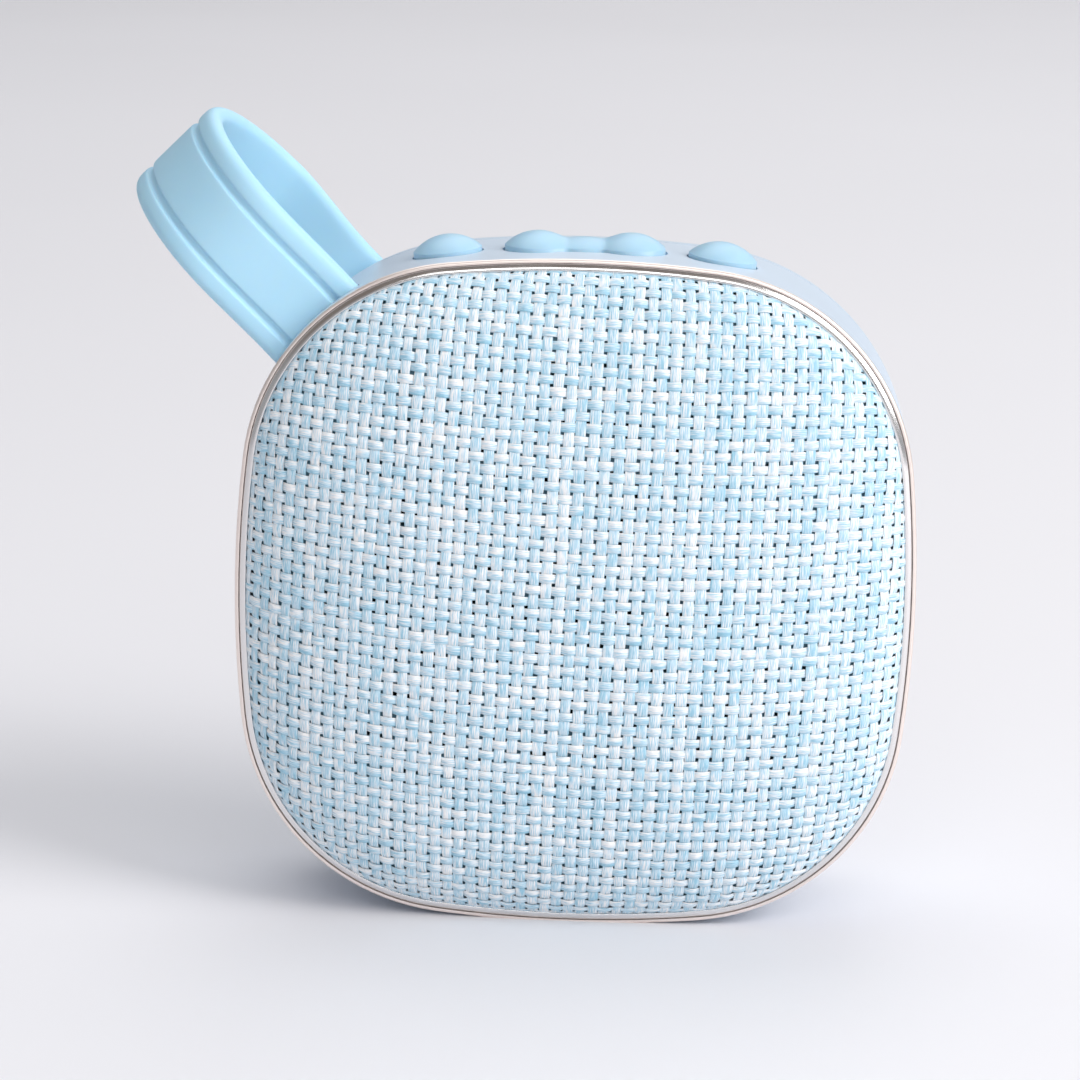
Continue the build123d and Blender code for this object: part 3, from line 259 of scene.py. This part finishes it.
# From the bluest fibres to the whitest
yarn_shades = {0.52: (152, 201, 224), 0.63: (188, 219, 236), 0.71: (214, 229, 240), 0.82: (243, 244, 245)}
blend_tones = add_node(yarn_tree, "ShaderNodeValToRGB")
stops = blend_tones.color_ramp.elements
for place in list(yarn_shades)[1:-1]:
    stops.new(place)
for stop, (place, shade) in zip(stops, yarn_shades.items()):
    stop.position = place
    stop.color = linear(*shade)
link(yarn_tree,
     (fibre_place.outputs["UV"], slub_scale.inputs["Vector"]),
     (fibre_place.outputs["UV"], fibre_scale.inputs["Vector"]),
     (fibre_place.outputs["UV"], hair_scale.inputs["Vector"]),
     (slub_scale.outputs["Vector"], slub.inputs["Vector"]),
     (fibre_scale.outputs["Vector"], fibre.inputs["Vector"]),
     (hair_scale.outputs["Vector"], hair.inputs["Vector"]),
     (tone.outputs["Fac"], sum_tone.inputs[0]),
     (slub.outputs["Fac"], sum_slub.inputs[0]),
     (fibre.outputs["Fac"], sum_fibre.inputs[0]),
     (sum_slub.outputs[0], sum_tone.inputs[2]),
     (sum_tone.outputs[0], sum_fibre.inputs[2]),
     (sum_fibre.outputs[0], blend_tones.inputs["Fac"]))
hair_bump = add_node(yarn_tree, "ShaderNodeBump", Strength=0.55, Distance=0.00006)
link(yarn_tree,
     (hair.outputs["Fac"], hair_bump.inputs["Height"]),
     (blend_tones.outputs["Color"], yarn_shader.inputs["Base Color"]),
     (hair_bump.outputs["Normal"], yarn_shader.inputs["Normal"]))
yarn_shader.inputs["Roughness"].default_value = 0.72
yarn_shader.inputs["Sheen Weight"].default_value = 0.12
yarn_shader.inputs["Sheen Roughness"].default_value = 0.5
woven_front.data.materials.append(woven_yarn)
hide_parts("grille_cloth")
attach(woven_front, "case")

# Moulded plastic surface
# The fine spark-eroded texture that the case shells and the black mouldings take from their tools,
# with a faint unevenness of tone. It is one effect with its own values in each material.
moulded_surface = bpy.data.node_groups.new("moulded_surface", "ShaderNodeTree")
for socket_name, socket_kind, start in (
        ("Color", "NodeSocketColor", (0.8, 0.8, 0.8, 1.0)), ("Unevenness", "NodeSocketFloat", 0.05),
        ("Grain Size", "NodeSocketFloat", 0.00025), ("Roughness", "NodeSocketFloat", 0.4)):
    made_socket = moulded_surface.interface.new_socket(socket_name, in_out="INPUT", socket_type=socket_kind)
    made_socket.default_value = start
for socket_name, socket_kind in (("Color", "NodeSocketColor"), ("Roughness", "NodeSocketFloat"),
                                 ("Height", "NodeSocketFloat")):
    moulded_surface.interface.new_socket(socket_name, in_out="OUTPUT", socket_type=socket_kind)
group_in = add_node(moulded_surface, "NodeGroupInput")
group_out = add_node(moulded_surface, "NodeGroupOutput")
surface_place = add_node(moulded_surface, "ShaderNodeTexCoord")
grain_rate = add_node(moulded_surface, "ShaderNodeMath", operation="DIVIDE")
grain_rate.inputs[0].default_value = 1.0
grain = add_node(moulded_surface, "ShaderNodeTexNoise", Detail=2.0)
cloud = add_node(moulded_surface, "ShaderNodeTexNoise", Scale=60.0, Detail=3.0)
noise_middle, roughness_swing = 0.5, 0.12
cloud_shift = add_node(moulded_surface, "ShaderNodeMath", operation="SUBTRACT")
cloud_shift.inputs[1].default_value = noise_middle
cloud_size = add_node(moulded_surface, "ShaderNodeMath", operation="MULTIPLY_ADD")
cloud_size.inputs[2].default_value = 1.0
cloud_color = add_node(moulded_surface, "ShaderNodeVectorMath", operation="SCALE")
rough_shift = add_node(moulded_surface, "ShaderNodeMath", operation="MULTIPLY_ADD")
rough_shift.inputs[1].default_value = roughness_swing
link(moulded_surface,
     (group_in.outputs["Grain Size"], grain_rate.inputs[1]),
     (grain_rate.outputs[0], grain.inputs["Scale"]),
     (surface_place.outputs["Object"], grain.inputs["Vector"]),
     (surface_place.outputs["Object"], cloud.inputs["Vector"]),
     (cloud.outputs["Fac"], cloud_shift.inputs[0]),
     (cloud_shift.outputs[0], cloud_size.inputs[0]),
     (group_in.outputs["Unevenness"], cloud_size.inputs[1]),
     (group_in.outputs["Color"], cloud_color.inputs[0]),
     (cloud_size.outputs[0], cloud_color.inputs["Scale"]),
     (cloud_shift.outputs[0], rough_shift.inputs[0]),
     (group_in.outputs["Roughness"], rough_shift.inputs[2]),
     (cloud_color.outputs[0], group_out.inputs["Color"]),
     (rough_shift.outputs[0], group_out.inputs["Roughness"]),
     (grain.outputs["Fac"], group_out.inputs["Height"]))


def moulded_material(name, color, roughness, unevenness=0.06, grain_size=0.00025, grain_depth=0.00001,
                     strength=0.3, coat=0.0, metallic=0.0):
    """A material with the moulded surface in its own colour, sheen and grain."""
    material, tree, shader = new_material(name)
    surface = add_node(tree, "ShaderNodeGroup", node_tree=moulded_surface)
    surface.inputs["Color"].default_value = color
    surface.inputs["Unevenness"].default_value = unevenness
    surface.inputs["Grain Size"].default_value = grain_size
    surface.inputs["Roughness"].default_value = roughness
    bump = add_node(tree, "ShaderNodeBump", Strength=strength, Distance=grain_depth)
    link(tree,
         (surface.outputs["Color"], shader.inputs["Base Color"]),
         (surface.outputs["Roughness"], shader.inputs["Roughness"]),
         (surface.outputs["Height"], bump.inputs["Height"]),
         (bump.outputs["Normal"], shader.inputs["Normal"]))
    shader.inputs["Coat Weight"].default_value = coat
    shader.inputs["Metallic"].default_value = metallic
    return material


def finish_nodes(material, *names):
    """Gives CAD nodes this material."""
    for name in names:
        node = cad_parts[name]
        node.data.materials.clear()
        node.data.materials.append(material)


# Grille behind the weave
# A moulded dome with round holes. Its dark grey-blue is painted shade, the tone of the shade
# between the yarns; it shows as specks at the corners of the crossings. The baffle behind it is
# moulded in the same plastic.
grille_shade_blue = moulded_material("grille_shade_blue", linear(84, 126, 146), 0.6, grain_depth=0.00002)
finish_nodes(grille_shade_blue, "grille_frame", "baffle_plate")

# Trim ring
# A plated band pressed into the shell's rebate, where it holds the edge of the cloth down. It is
# bright, and its polish is slightly uneven.
ring_chrome, chrome_tree, chrome_shader = new_material("ring_chrome")
chrome_place = add_node(chrome_tree, "ShaderNodeTexCoord")
chrome_cloud = add_node(chrome_tree, "ShaderNodeTexNoise", Scale=160.0, Detail=2.0)
chrome_rough = add_node(chrome_tree, "ShaderNodeMapRange", From_Min=0.3, From_Max=0.7,
                        To_Min=0.14, To_Max=0.22)
link(chrome_tree,
     (chrome_place.outputs["Object"], chrome_cloud.inputs["Vector"]),
     (chrome_cloud.outputs["Fac"], chrome_rough.inputs["Value"]),
     (chrome_rough.outputs["Result"], chrome_shader.inputs["Roughness"]))
chrome_shader.inputs["Base Color"].default_value = (0.78, 0.77, 0.77, 1.0)
chrome_shader.inputs["Metallic"].default_value = 1.0


def outline_stations(per_side, per_corner):
    """(centre, radius, direction) of places round the case outline, arc by arc."""
    stations = []
    for quarter in range(4):
        turned = pi / 2 * quarter
        spin = Matrix.Rotation(turned, 2)
        for step in range(per_side):
            angle = pi / 2 - side_turn + 2 * side_turn * step / per_side + turned
            stations.append((spin @ Vector((0, -side_drop)), side_arc, angle))
        for step in range(per_corner):
            angle = side_turn + (pi / 2 - 2 * side_turn) * step / per_corner + turned + pi / 2
            stations.append((spin @ Vector((-corner_middle, corner_middle)), corner_arc, angle))
    return stations


# Inset and depth of the ring's section: outer wall, outward chamfer, narrow bright inner edge
ring_section = [(0.55, 8.3), (0.55, 9.84), (0.64, 9.94), (0.80, 10.05), (1.00, 10.19), (1.14, 10.265),
                (1.24, 10.28), (1.34, 10.305), (1.43, 10.29), (1.48, 10.22), (1.50, 10.10), (1.50, 8.3)]
ring_stations = outline_stations(per_side=24, per_corner=36)
ring_points = [(middle.x + (radius - inset) * cos(angle), -depth, middle.y + (radius - inset) * sin(angle))
               for middle, radius, angle in ring_stations for inset, depth in ring_section]
wide, rows = len(ring_section), len(ring_stations)
ring_rows = [(row * wide, (row + 1) % rows * wide) for row in range(rows)]
ring_faces = [(here + i, here + i + 1, there + i + 1, there + i)
              for here, there in ring_rows for i in range(wide - 1)]
trim_band = mesh_piece("trim_band", ring_points, ring_faces)
trim_band.data.materials.append(ring_chrome)
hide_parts("trim_ring")
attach(trim_band, "case")

# Case shells
# Two mouldings in pale powder-blue plastic with a satin, finely eroded surface. They meet at a
# tongue and groove, and four screws from the back hold them together.
shell_look = dict(color=linear(199, 213, 228), roughness=0.36, unevenness=0.04, grain_size=0.00022,
                  grain_depth=0.000006, strength=0.25)
shell_satin = moulded_material("shell_satin", **shell_look)
finish_nodes(shell_satin, "rear_cover")
# The front shell's lip, a rounded edge half a millimetre wide, is polished and warm white
shell_front = moulded_material("shell_front", **shell_look)
lip_back, lip_front, lip_metallic = -0.00955, -0.00968, 0.85
front_tree = shell_front.node_tree
front_shader = front_tree.nodes["Principled BSDF"]
lip_place = add_node(front_tree, "ShaderNodeTexCoord")
lip_split = add_node(front_tree, "ShaderNodeSeparateXYZ")
lip_start = add_node(front_tree, "ShaderNodeMapRange", From_Min=lip_back, From_Max=lip_front)
lip_color = add_node(front_tree, "ShaderNodeMix", data_type="RGBA")
lip_color.inputs[7].default_value = linear(244, 232, 226)
plain_color = front_shader.inputs["Base Color"].links[0].from_socket
lip_metal = add_node(front_tree, "ShaderNodeMath", operation="MULTIPLY")
lip_metal.inputs[1].default_value = lip_metallic
link(front_tree,
     (lip_place.outputs["Object"], lip_split.inputs[0]),
     (lip_split.outputs["Y"], lip_start.inputs["Value"]),
     (lip_start.outputs["Result"], lip_color.inputs[0]),
     (plain_color, lip_color.inputs[6]),
     (lip_color.outputs[2], front_shader.inputs["Base Color"]),
     (lip_start.outputs["Result"], lip_metal.inputs[0]),
     (lip_metal.outputs[0], front_shader.inputs["Metallic"]))
finish_nodes(shell_front, "front_shell")

# Keys
# Soft sky-blue rubber, moulded with a low crown and a crisp lower edge, slightly translucent and
# satin. The outer keys are round; the middle one is a rocker of two lobes with a sunk waist.
def make_translucent(material, weight):
    """Lets light through the skin of a soft material, blue light furthest."""
    shader = material.node_tree.nodes["Principled BSDF"]
    shader.inputs["Subsurface Weight"].default_value = weight
    shader.inputs["Subsurface Radius"].default_value = (0.0006, 0.0012, 0.0018)


key_rubber = moulded_material("key_rubber", linear(166, 204, 226), 0.36, unevenness=0.05,
                              grain_size=0.00015, grain_depth=0.000004, strength=0.2)
make_translucent(key_rubber, 0.35)
finish_nodes(key_rubber, "left_key", "right_key")
lobe_out, lobe_radius, lobe_rise = 5.85, 4.3, 1.85
waist_half, waist_rise = 3.2, 1.2
key_edge_height, rocker_skirt = 0.4, 3.4
crest_fullness, end_half = 0.92, 0.02
# How sharply the waist meets the lobes, seen from above and along the crest
outline_join, crest_join = 8, 4
rocker_edge = sqrt(side_arc**2 - lobe_out**2) - side_drop + key_edge_height
lobe_ball = (lobe_radius**2 + lobe_rise**2) / (2 * lobe_rise)


def rocker_section(across):
    """Half depth and crest height of the rocker at a place along it."""
    off = abs(across) - lobe_out
    lobe_half = sqrt(max(lobe_radius**2 - off**2, 0.0))
    lobe_crest = max(sqrt(max(lobe_ball**2 - off**2, 0.0)) - lobe_ball + lobe_rise, 0.0)
    # The waist starts from nothing at a lobe's middle, so the crest runs on without a step
    inward = max(-off / lobe_out, 0.0)
    waist_share = inward * (2 - inward)
    return ((lobe_half**outline_join + (waist_half * waist_share) ** outline_join) ** (1 / outline_join),
            (lobe_crest**crest_join + (waist_rise * waist_share) ** crest_join) ** (1 / crest_join))


def sine_places(count):
    """Places from -1 to 1, closer together towards both ends."""
    return [sin(pi / 2 * k / count) for k in range(-count, count + 1)]


rocker_end = lobe_out + lobe_radius
rocker_rows = [rocker_end * place for place in sine_places(40)]
rocker_steps = sine_places(14)
rocker_points = []
for across in rocker_rows:
    half, crest = rocker_section(across)
    half = max(half, end_half)
    rocker_points.append((across, -half, rocker_edge - rocker_skirt))
    rocker_points += [(across, half * share, rocker_edge + crest * (1 - share * share) ** crest_fullness)
                      for share in rocker_steps]
    rocker_points.append((across, half, rocker_edge - rocker_skirt))
wide = len(rocker_steps) + 2
rocker_faces = [(r * wide + i, (r + 1) * wide + i, (r + 1) * wide + i + 1, r * wide + i + 1)
                for r in range(len(rocker_rows) - 1) for i in range(wide - 1)]
rocker_cap = mesh_piece("rocker_cap", rocker_points, rocker_faces)
rocker_cap.data.materials.append(key_rubber)
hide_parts("rocker_key")
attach(rocker_cap, "rocker")

# Wrist strap
# One piece of sky-blue silicone with a bead along each edge and a flat middle, hooked behind both
# shells. It has a soft satin skin.
strap_silicone = moulded_material("strap_silicone", linear(172, 216, 238), 0.52, unevenness=0.05,
                                  grain_size=0.0002, grain_depth=0.000005, strength=0.2)
make_translucent(strap_silicone, 0.3)
root_out, bulge_out, top_out = 47.94, 61.94, 75.84
front_root, front_loop = 7.4, 9.8
rear_root, rear_loop = -17.3, -23.5
front_steps, bend_steps, rear_steps = 14, 48, 18
hidden_front, hidden_rear, hidden_step = 4, 6, 0.65


def limb(start, end, steps):
    """A limb's line between two (out, forward) places, with an easy curve at both."""
    places = [k / steps for k in range(steps)]
    return [(start[0] + (end[0] - start[0]) * u, start[1] + (end[1] - start[1]) * u * u * (3 - 2 * u))
            for u in places]


def strap_line():
    """Outer line of the loop, from the front slot round to the rear one: (out, forward) points."""
    line = [(root_out - hidden_step * (hidden_front - k), front_root) for k in range(hidden_front)]
    line += limb((root_out, front_root), (bulge_out, front_loop), front_steps)
    half, middle = (front_loop - rear_loop) / 2, (front_loop + rear_loop) / 2
    line += [(bulge_out + (top_out - bulge_out) * cos(a), middle + half * sin(a))
             for a in (pi / 2 - pi * k / bend_steps for k in range(bend_steps))]
    line += limb((bulge_out, rear_loop), (root_out, rear_root), rear_steps)
    line += [(root_out - hidden_step * k, rear_root) for k in range(hidden_rear)]
    return line


# Half of the strap's section: place across and depth under the outer face
half_section = [(0.0, 0.0), (1.7, 0.0), (3.1, 0.0), (3.40, 0.02), (3.52, 0.12), (3.64, 0.42), (3.80, 0.56),
                (4.10, 0.60), (4.36, 0.52), (4.52, 0.24), (4.66, 0.06), (4.90, 0.0), (5.60, 0.0),
                (6.10, 0.03), (6.55, 0.17), (6.93, 0.46), (7.15, 0.86), (7.22, 1.30), (7.15, 1.74),
                (6.93, 2.14), (6.55, 2.43), (6.10, 2.57), (5.0, 2.6), (3.5, 2.6), (1.7, 2.6)]
strap_half, strap_thickness = 7.22, 2.6
strap_section = half_section + [(0.0, strap_thickness)] + [(-t, d) for t, d in half_section[:0:-1]]
strap_run = strap_line()
loop_height, loop_lean, rear_flare = top_out - root_out, 0.024, 1.0
loop_top_row = max(range(len(strap_run)), key=lambda k: strap_run[k][0])
strap_points = []
for k, (out, forward) in enumerate(strap_run):
    before, after = strap_run[max(k - 1, 0)], strap_run[min(k + 1, len(strap_run) - 1)]
    way = Vector((after[0] - before[0], after[1] - before[1])).normalized()
    inward = Vector((way.y, -way.x))
    # The loop leans a little, and its rear limb widens evenly towards its root, on its inner side
    risen = max(out - root_out, 0.0)
    flare = rear_flare * (1 - risen / loop_height) if k > loop_top_row else 0.0
    for t, depth in strap_section:
        o, f = out + inward.x * depth, forward + inward.y * depth
        across = t + loop_lean * risen + flare * (t + strap_half) / (2 * strap_half)
        strap_points.append((-o / sqrt(2) + across / sqrt(2), -f, o / sqrt(2) + across / sqrt(2)))
wide = len(strap_section)
strap_edges = [(i, (i + 1) % wide) for i in range(wide)]
strap_faces = [(row + i, row + j, row + wide + j, row + wide + i)
               for row in range(0, (len(strap_run) - 1) * wide, wide) for i, j in strap_edges]
strap_faces += [tuple(range(wide))[::-1], tuple((len(strap_run) - 1) * wide + i for i in range(wide))]
loop_strap = mesh_piece("loop_strap", strap_points, strap_faces)
loop_strap.data.materials.append(strap_silicone)
smooth_strap = loop_strap.modifiers.new("smooth", "SUBSURF")
smooth_strap.levels = smooth_strap.render_levels = 1
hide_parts("wrist_strap")
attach(loop_strap, "case")

# Screw plugs at the back
# Four soft rubber plugs, a shade darker than the shell. They are pressed into the screw wells and
# hide the screws.
plug_rubber = moulded_material("plug_rubber", linear(186, 203, 218), 0.55, grain_depth=0.00001)
finish_nodes(plug_rubber, "screw_plugs")

# Sockets, lamp and sound hole at the back
# Stamped steel shells round the charging and card sockets and over the radio and the microphone,
# a black moulded audio socket, and a clear light pipe over the status lamp. All sit on the board.
steel_tone = (0.62, 0.62, 0.63, 1.0)
socket_steel = moulded_material("socket_steel", steel_tone, 0.28, metallic=1.0)
finish_nodes(socket_steel, "card_socket", "microphone", "radio_module")
# The charging socket's tongue is black moulded plastic inside its steel shell
usb_steel = moulded_material("usb_steel", steel_tone, 0.28)
usb_tree = usb_steel.node_tree
usb_shader = usb_tree.nodes["Principled BSDF"]
usb_low, usb_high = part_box("usb_socket")
usb_wall = 0.00045
usb_place = add_node(usb_tree, "ShaderNodeTexCoord")
usb_off = add_node(usb_tree, "ShaderNodeVectorMath", operation="SUBTRACT")
usb_off.inputs[1].default_value = [(low + high) / 2 for low, high in zip(usb_low, usb_high)]
usb_away = add_node(usb_tree, "ShaderNodeVectorMath", operation="ABSOLUTE")
usb_split = add_node(usb_tree, "ShaderNodeSeparateXYZ")
within_width = add_node(usb_tree, "ShaderNodeMath", operation="LESS_THAN")
within_width.inputs[1].default_value = (usb_high[0] - usb_low[0]) / 2 - usb_wall
within_height = add_node(usb_tree, "ShaderNodeMath", operation="LESS_THAN")
within_height.inputs[1].default_value = (usb_high[2] - usb_low[2]) / 2 - usb_wall
on_tongue = add_node(usb_tree, "ShaderNodeMath", operation="MULTIPLY")
usb_tone = add_node(usb_tree, "ShaderNodeMix", data_type="RGBA")
usb_tone.inputs[7].default_value = linear(24, 24, 26)
usb_metal = add_node(usb_tree, "ShaderNodeMath", operation="SUBTRACT")
usb_metal.inputs[0].default_value = 1.0
link(usb_tree,
     (usb_place.outputs["Object"], usb_off.inputs[0]),
     (usb_off.outputs[0], usb_away.inputs[0]),
     (usb_away.outputs[0], usb_split.inputs[0]),
     (usb_split.outputs["X"], within_width.inputs[0]),
     (usb_split.outputs["Z"], within_height.inputs[0]),
     (within_width.outputs[0], on_tongue.inputs[0]),
     (within_height.outputs[0], on_tongue.inputs[1]),
     (on_tongue.outputs[0], usb_tone.inputs[0]),
     (usb_shader.inputs["Base Color"].links[0].from_socket, usb_tone.inputs[6]),
     (usb_tone.outputs[2], usb_shader.inputs["Base Color"]),
     (on_tongue.outputs[0], usb_metal.inputs[1]),
     (usb_metal.outputs[0], usb_shader.inputs["Metallic"]))
finish_nodes(usb_steel, "usb_socket")
socket_black = moulded_material("socket_black", linear(22, 22, 24), 0.4)
finish_nodes(socket_black, "audio_socket", "rocker_fulcrum", "key_switches")
pipe_clear = moulded_material("pipe_clear", linear(225, 232, 235), 0.15, coat=0.5)
finish_nodes(pipe_clear, "light_pipe", "status_led")

# Driver
# Black coated basket and cone, ferrite magnet between zinc plated steel plates, copper coil, amber
# spider and a soft black surround.
basket_black = moulded_material("basket_black", linear(30, 30, 32), 0.45)
finish_nodes(basket_black, "driver_basket")
cone_pulp = moulded_material("cone_pulp", linear(34, 34, 36), 0.75, grain_depth=0.00005)
finish_nodes(cone_pulp, "driver_cone", "dust_cap")
surround_rubber = moulded_material("surround_rubber", linear(20, 20, 21), 0.5)
finish_nodes(surround_rubber, "driver_surround", "driver_gasket", "battery_foam")
ferrite_grey = moulded_material("ferrite_grey", linear(62, 62, 66), 0.6)
finish_nodes(ferrite_grey, "driver_magnet")
plated_steel = moulded_material("plated_steel", (0.55, 0.55, 0.56, 1.0), 0.3, metallic=1.0)
finish_nodes(plated_steel, "top_plate", "driver_yoke", "baffle_screws", "driver_screws", "key_board_screws",
             "main_board_screws", "rear_screws")
coil_copper = moulded_material("coil_copper", linear(190, 110, 70), 0.3, metallic=1.0)
finish_nodes(coil_copper, "voice_coil")
spider_amber = moulded_material("spider_amber", linear(198, 150, 80), 0.8, grain_depth=0.00006)
finish_nodes(spider_amber, "driver_spider")

# Boards, cell and leads
# Green glass-fibre boards screwed to the shell's posts and bosses, a shrink-wrapped round cell in
# its cradle, thin red leads soldered at their ends, and an amber film ribbon.
board_green = moulded_material("board_green", linear(30, 95, 62), 0.35)
finish_nodes(board_green, "main_board", "key_board", "driver_terminals")
cell_wrap = moulded_material("cell_wrap", linear(90, 150, 190), 0.25)
finish_nodes(cell_wrap, "battery_cell")
lead_red = moulded_material("lead_red", linear(190, 40, 36), 0.4)
finish_nodes(lead_red, "speaker_leads", "battery_leads")
ribbon_amber = moulded_material("ribbon_amber", linear(210, 140, 60), 0.3)
finish_nodes(ribbon_amber, "key_ribbon")

# Table
# A plain pale surface with a faint cloudiness, on which the speaker stands. It runs back out of
# the view.
table_half = 4.0
table_mesh = bpy.data.meshes.new("table")
table_mesh.from_pydata([(-table_half, -table_half, 0), (table_half, -table_half, 0),
                        (table_half, table_half, 0), (-table_half, table_half, 0)], [], [(0, 1, 2, 3)])
table = bpy.data.objects.new("table", table_mesh)
bpy.context.scene.collection.objects.link(table)
table_pale, table_tree, table_shader = new_material("table_pale")
table_place = add_node(table_tree, "ShaderNodeTexCoord")
table_cloud = add_node(table_tree, "ShaderNodeTexNoise", Scale=3.0, Detail=2.0)
table_tone = add_node(table_tree, "ShaderNodeValToRGB")
table_tone.color_ramp.elements[0].color = linear(228, 227, 231)
table_tone.color_ramp.elements[1].color = linear(233, 232, 236)
link(table_tree,
     (table_place.outputs["Object"], table_cloud.inputs["Vector"]),
     (table_cloud.outputs["Fac"], table_tone.inputs["Fac"]),
     (table_tone.outputs["Color"], table_shader.inputs["Base Color"]))
table_shader.inputs["Roughness"].default_value = 0.6
table_mesh.materials.append(table_pale)

# Light
# A soft box from the right front with a small one above it, a wide one overhead, a weaker one in
# front and one over the far table. The room is even, but darker and warmer high up in front.
def soft_box(name, place, aim, width, height, power, color=(1, 1, 1)):
    """A rectangular lamp at a place, turned towards its aim."""
    lamp = bpy.data.lights.new(name, "AREA")
    lamp.shape, lamp.size, lamp.size_y, lamp.energy, lamp.color = "RECTANGLE", width, height, power, color
    box = bpy.data.objects.new(name, lamp)
    bpy.context.scene.collection.objects.link(box)
    box.location = place
    box.rotation_euler = (Vector(aim) - Vector(place)).to_track_quat("-Z", "Y").to_euler()


speaker_middle = (0, 0, 0.04)
soft_box("key_light", (1.45, -0.72, 0.98), speaker_middle, 1.0, 1.0, 23.5, (1.0, 0.985, 0.97))
soft_box("high_light", (1.02, -0.80, 1.36), speaker_middle, 0.6, 0.6, 4.5)
soft_box("top_light", (-0.2, 0.9, 2.2), (0, 0.2, 0.0), 1.8, 1.4, 14.5, (0.95, 0.98, 1.0))
soft_box("front_light", (0.25, -1.55, 1.15), speaker_middle, 1.5, 1.0, 11.0)
soft_box("far_light", (0.5, 1.9, 1.2), (0.7, 1.9, 0.0), 2.2, 1.4, 7.5)
world = bpy.data.worlds.new("room")
world.use_nodes = True
room = world.node_tree
room_way = add_node(room, "ShaderNodeTexCoord")
room_split = add_node(room, "ShaderNodeSeparateXYZ")
room_front = add_node(room, "ShaderNodeMapRange", interpolation_type="SMOOTHSTEP",
                      From_Min=-0.1, From_Max=-0.45)
room_high = add_node(room, "ShaderNodeMapRange", interpolation_type="SMOOTHSTEP",
                     From_Min=0.15, From_Max=0.5)
room_dark = add_node(room, "ShaderNodeMath", operation="MULTIPLY")
room_tone = add_node(room, "ShaderNodeMix", data_type="RGBA")
room_tone.inputs[6].default_value = (0.90, 0.91, 0.94, 1.0)
room_tone.inputs[7].default_value = (0.50, 0.43, 0.39, 1.0)
link(room,
     (room_way.outputs["Generated"], room_split.inputs[0]),
     (room_split.outputs["Y"], room_front.inputs["Value"]),
     (room_split.outputs["Z"], room_high.inputs["Value"]),
     (room_front.outputs["Result"], room_dark.inputs[0]),
     (room_high.outputs["Result"], room_dark.inputs[1]),
     (room_dark.outputs[0], room_tone.inputs[0]),
     (room_tone.outputs[2], room.nodes["Background"].inputs["Color"]))
room.nodes["Background"].inputs["Strength"].default_value = 0.42
bpy.context.scene.world = world
bpy.context.scene.view_settings.view_transform = "Standard"

# Camera
# It stands a little to the right of straight ahead and looks down about twelve degrees. Its place
# and focal length were fitted to the outline of the case in the photo.
camera_turn, camera_rise, camera_roll = radians(2.347), radians(12.446), radians(1.357)
camera_range = 0.470
focal_length, sensor_width, nearest_seen = 124.607, 36.0, 0.01
aim = Vector((-0.004433, -0.010, 0.049975))
back = Vector((sin(camera_turn) * cos(camera_rise), -cos(camera_turn) * cos(camera_rise), sin(camera_rise)))
level_right = Vector((cos(camera_turn), sin(camera_turn), 0))
level_up = back.cross(level_right)
right = cos(camera_roll) * level_right + sin(camera_roll) * level_up
up = -sin(camera_roll) * level_right + cos(camera_roll) * level_up
lens = bpy.data.cameras.new("camera")
lens.lens, lens.sensor_width, lens.clip_start = focal_length, sensor_width, nearest_seen
camera = bpy.data.objects.new("camera", lens)
bpy.context.scene.collection.objects.link(camera)
turn = Matrix((right, up, back)).transposed().to_4x4()
camera.matrix_world = Matrix.Translation(aim + camera_range * back) @ turn
bpy.context.scene.camera = camera
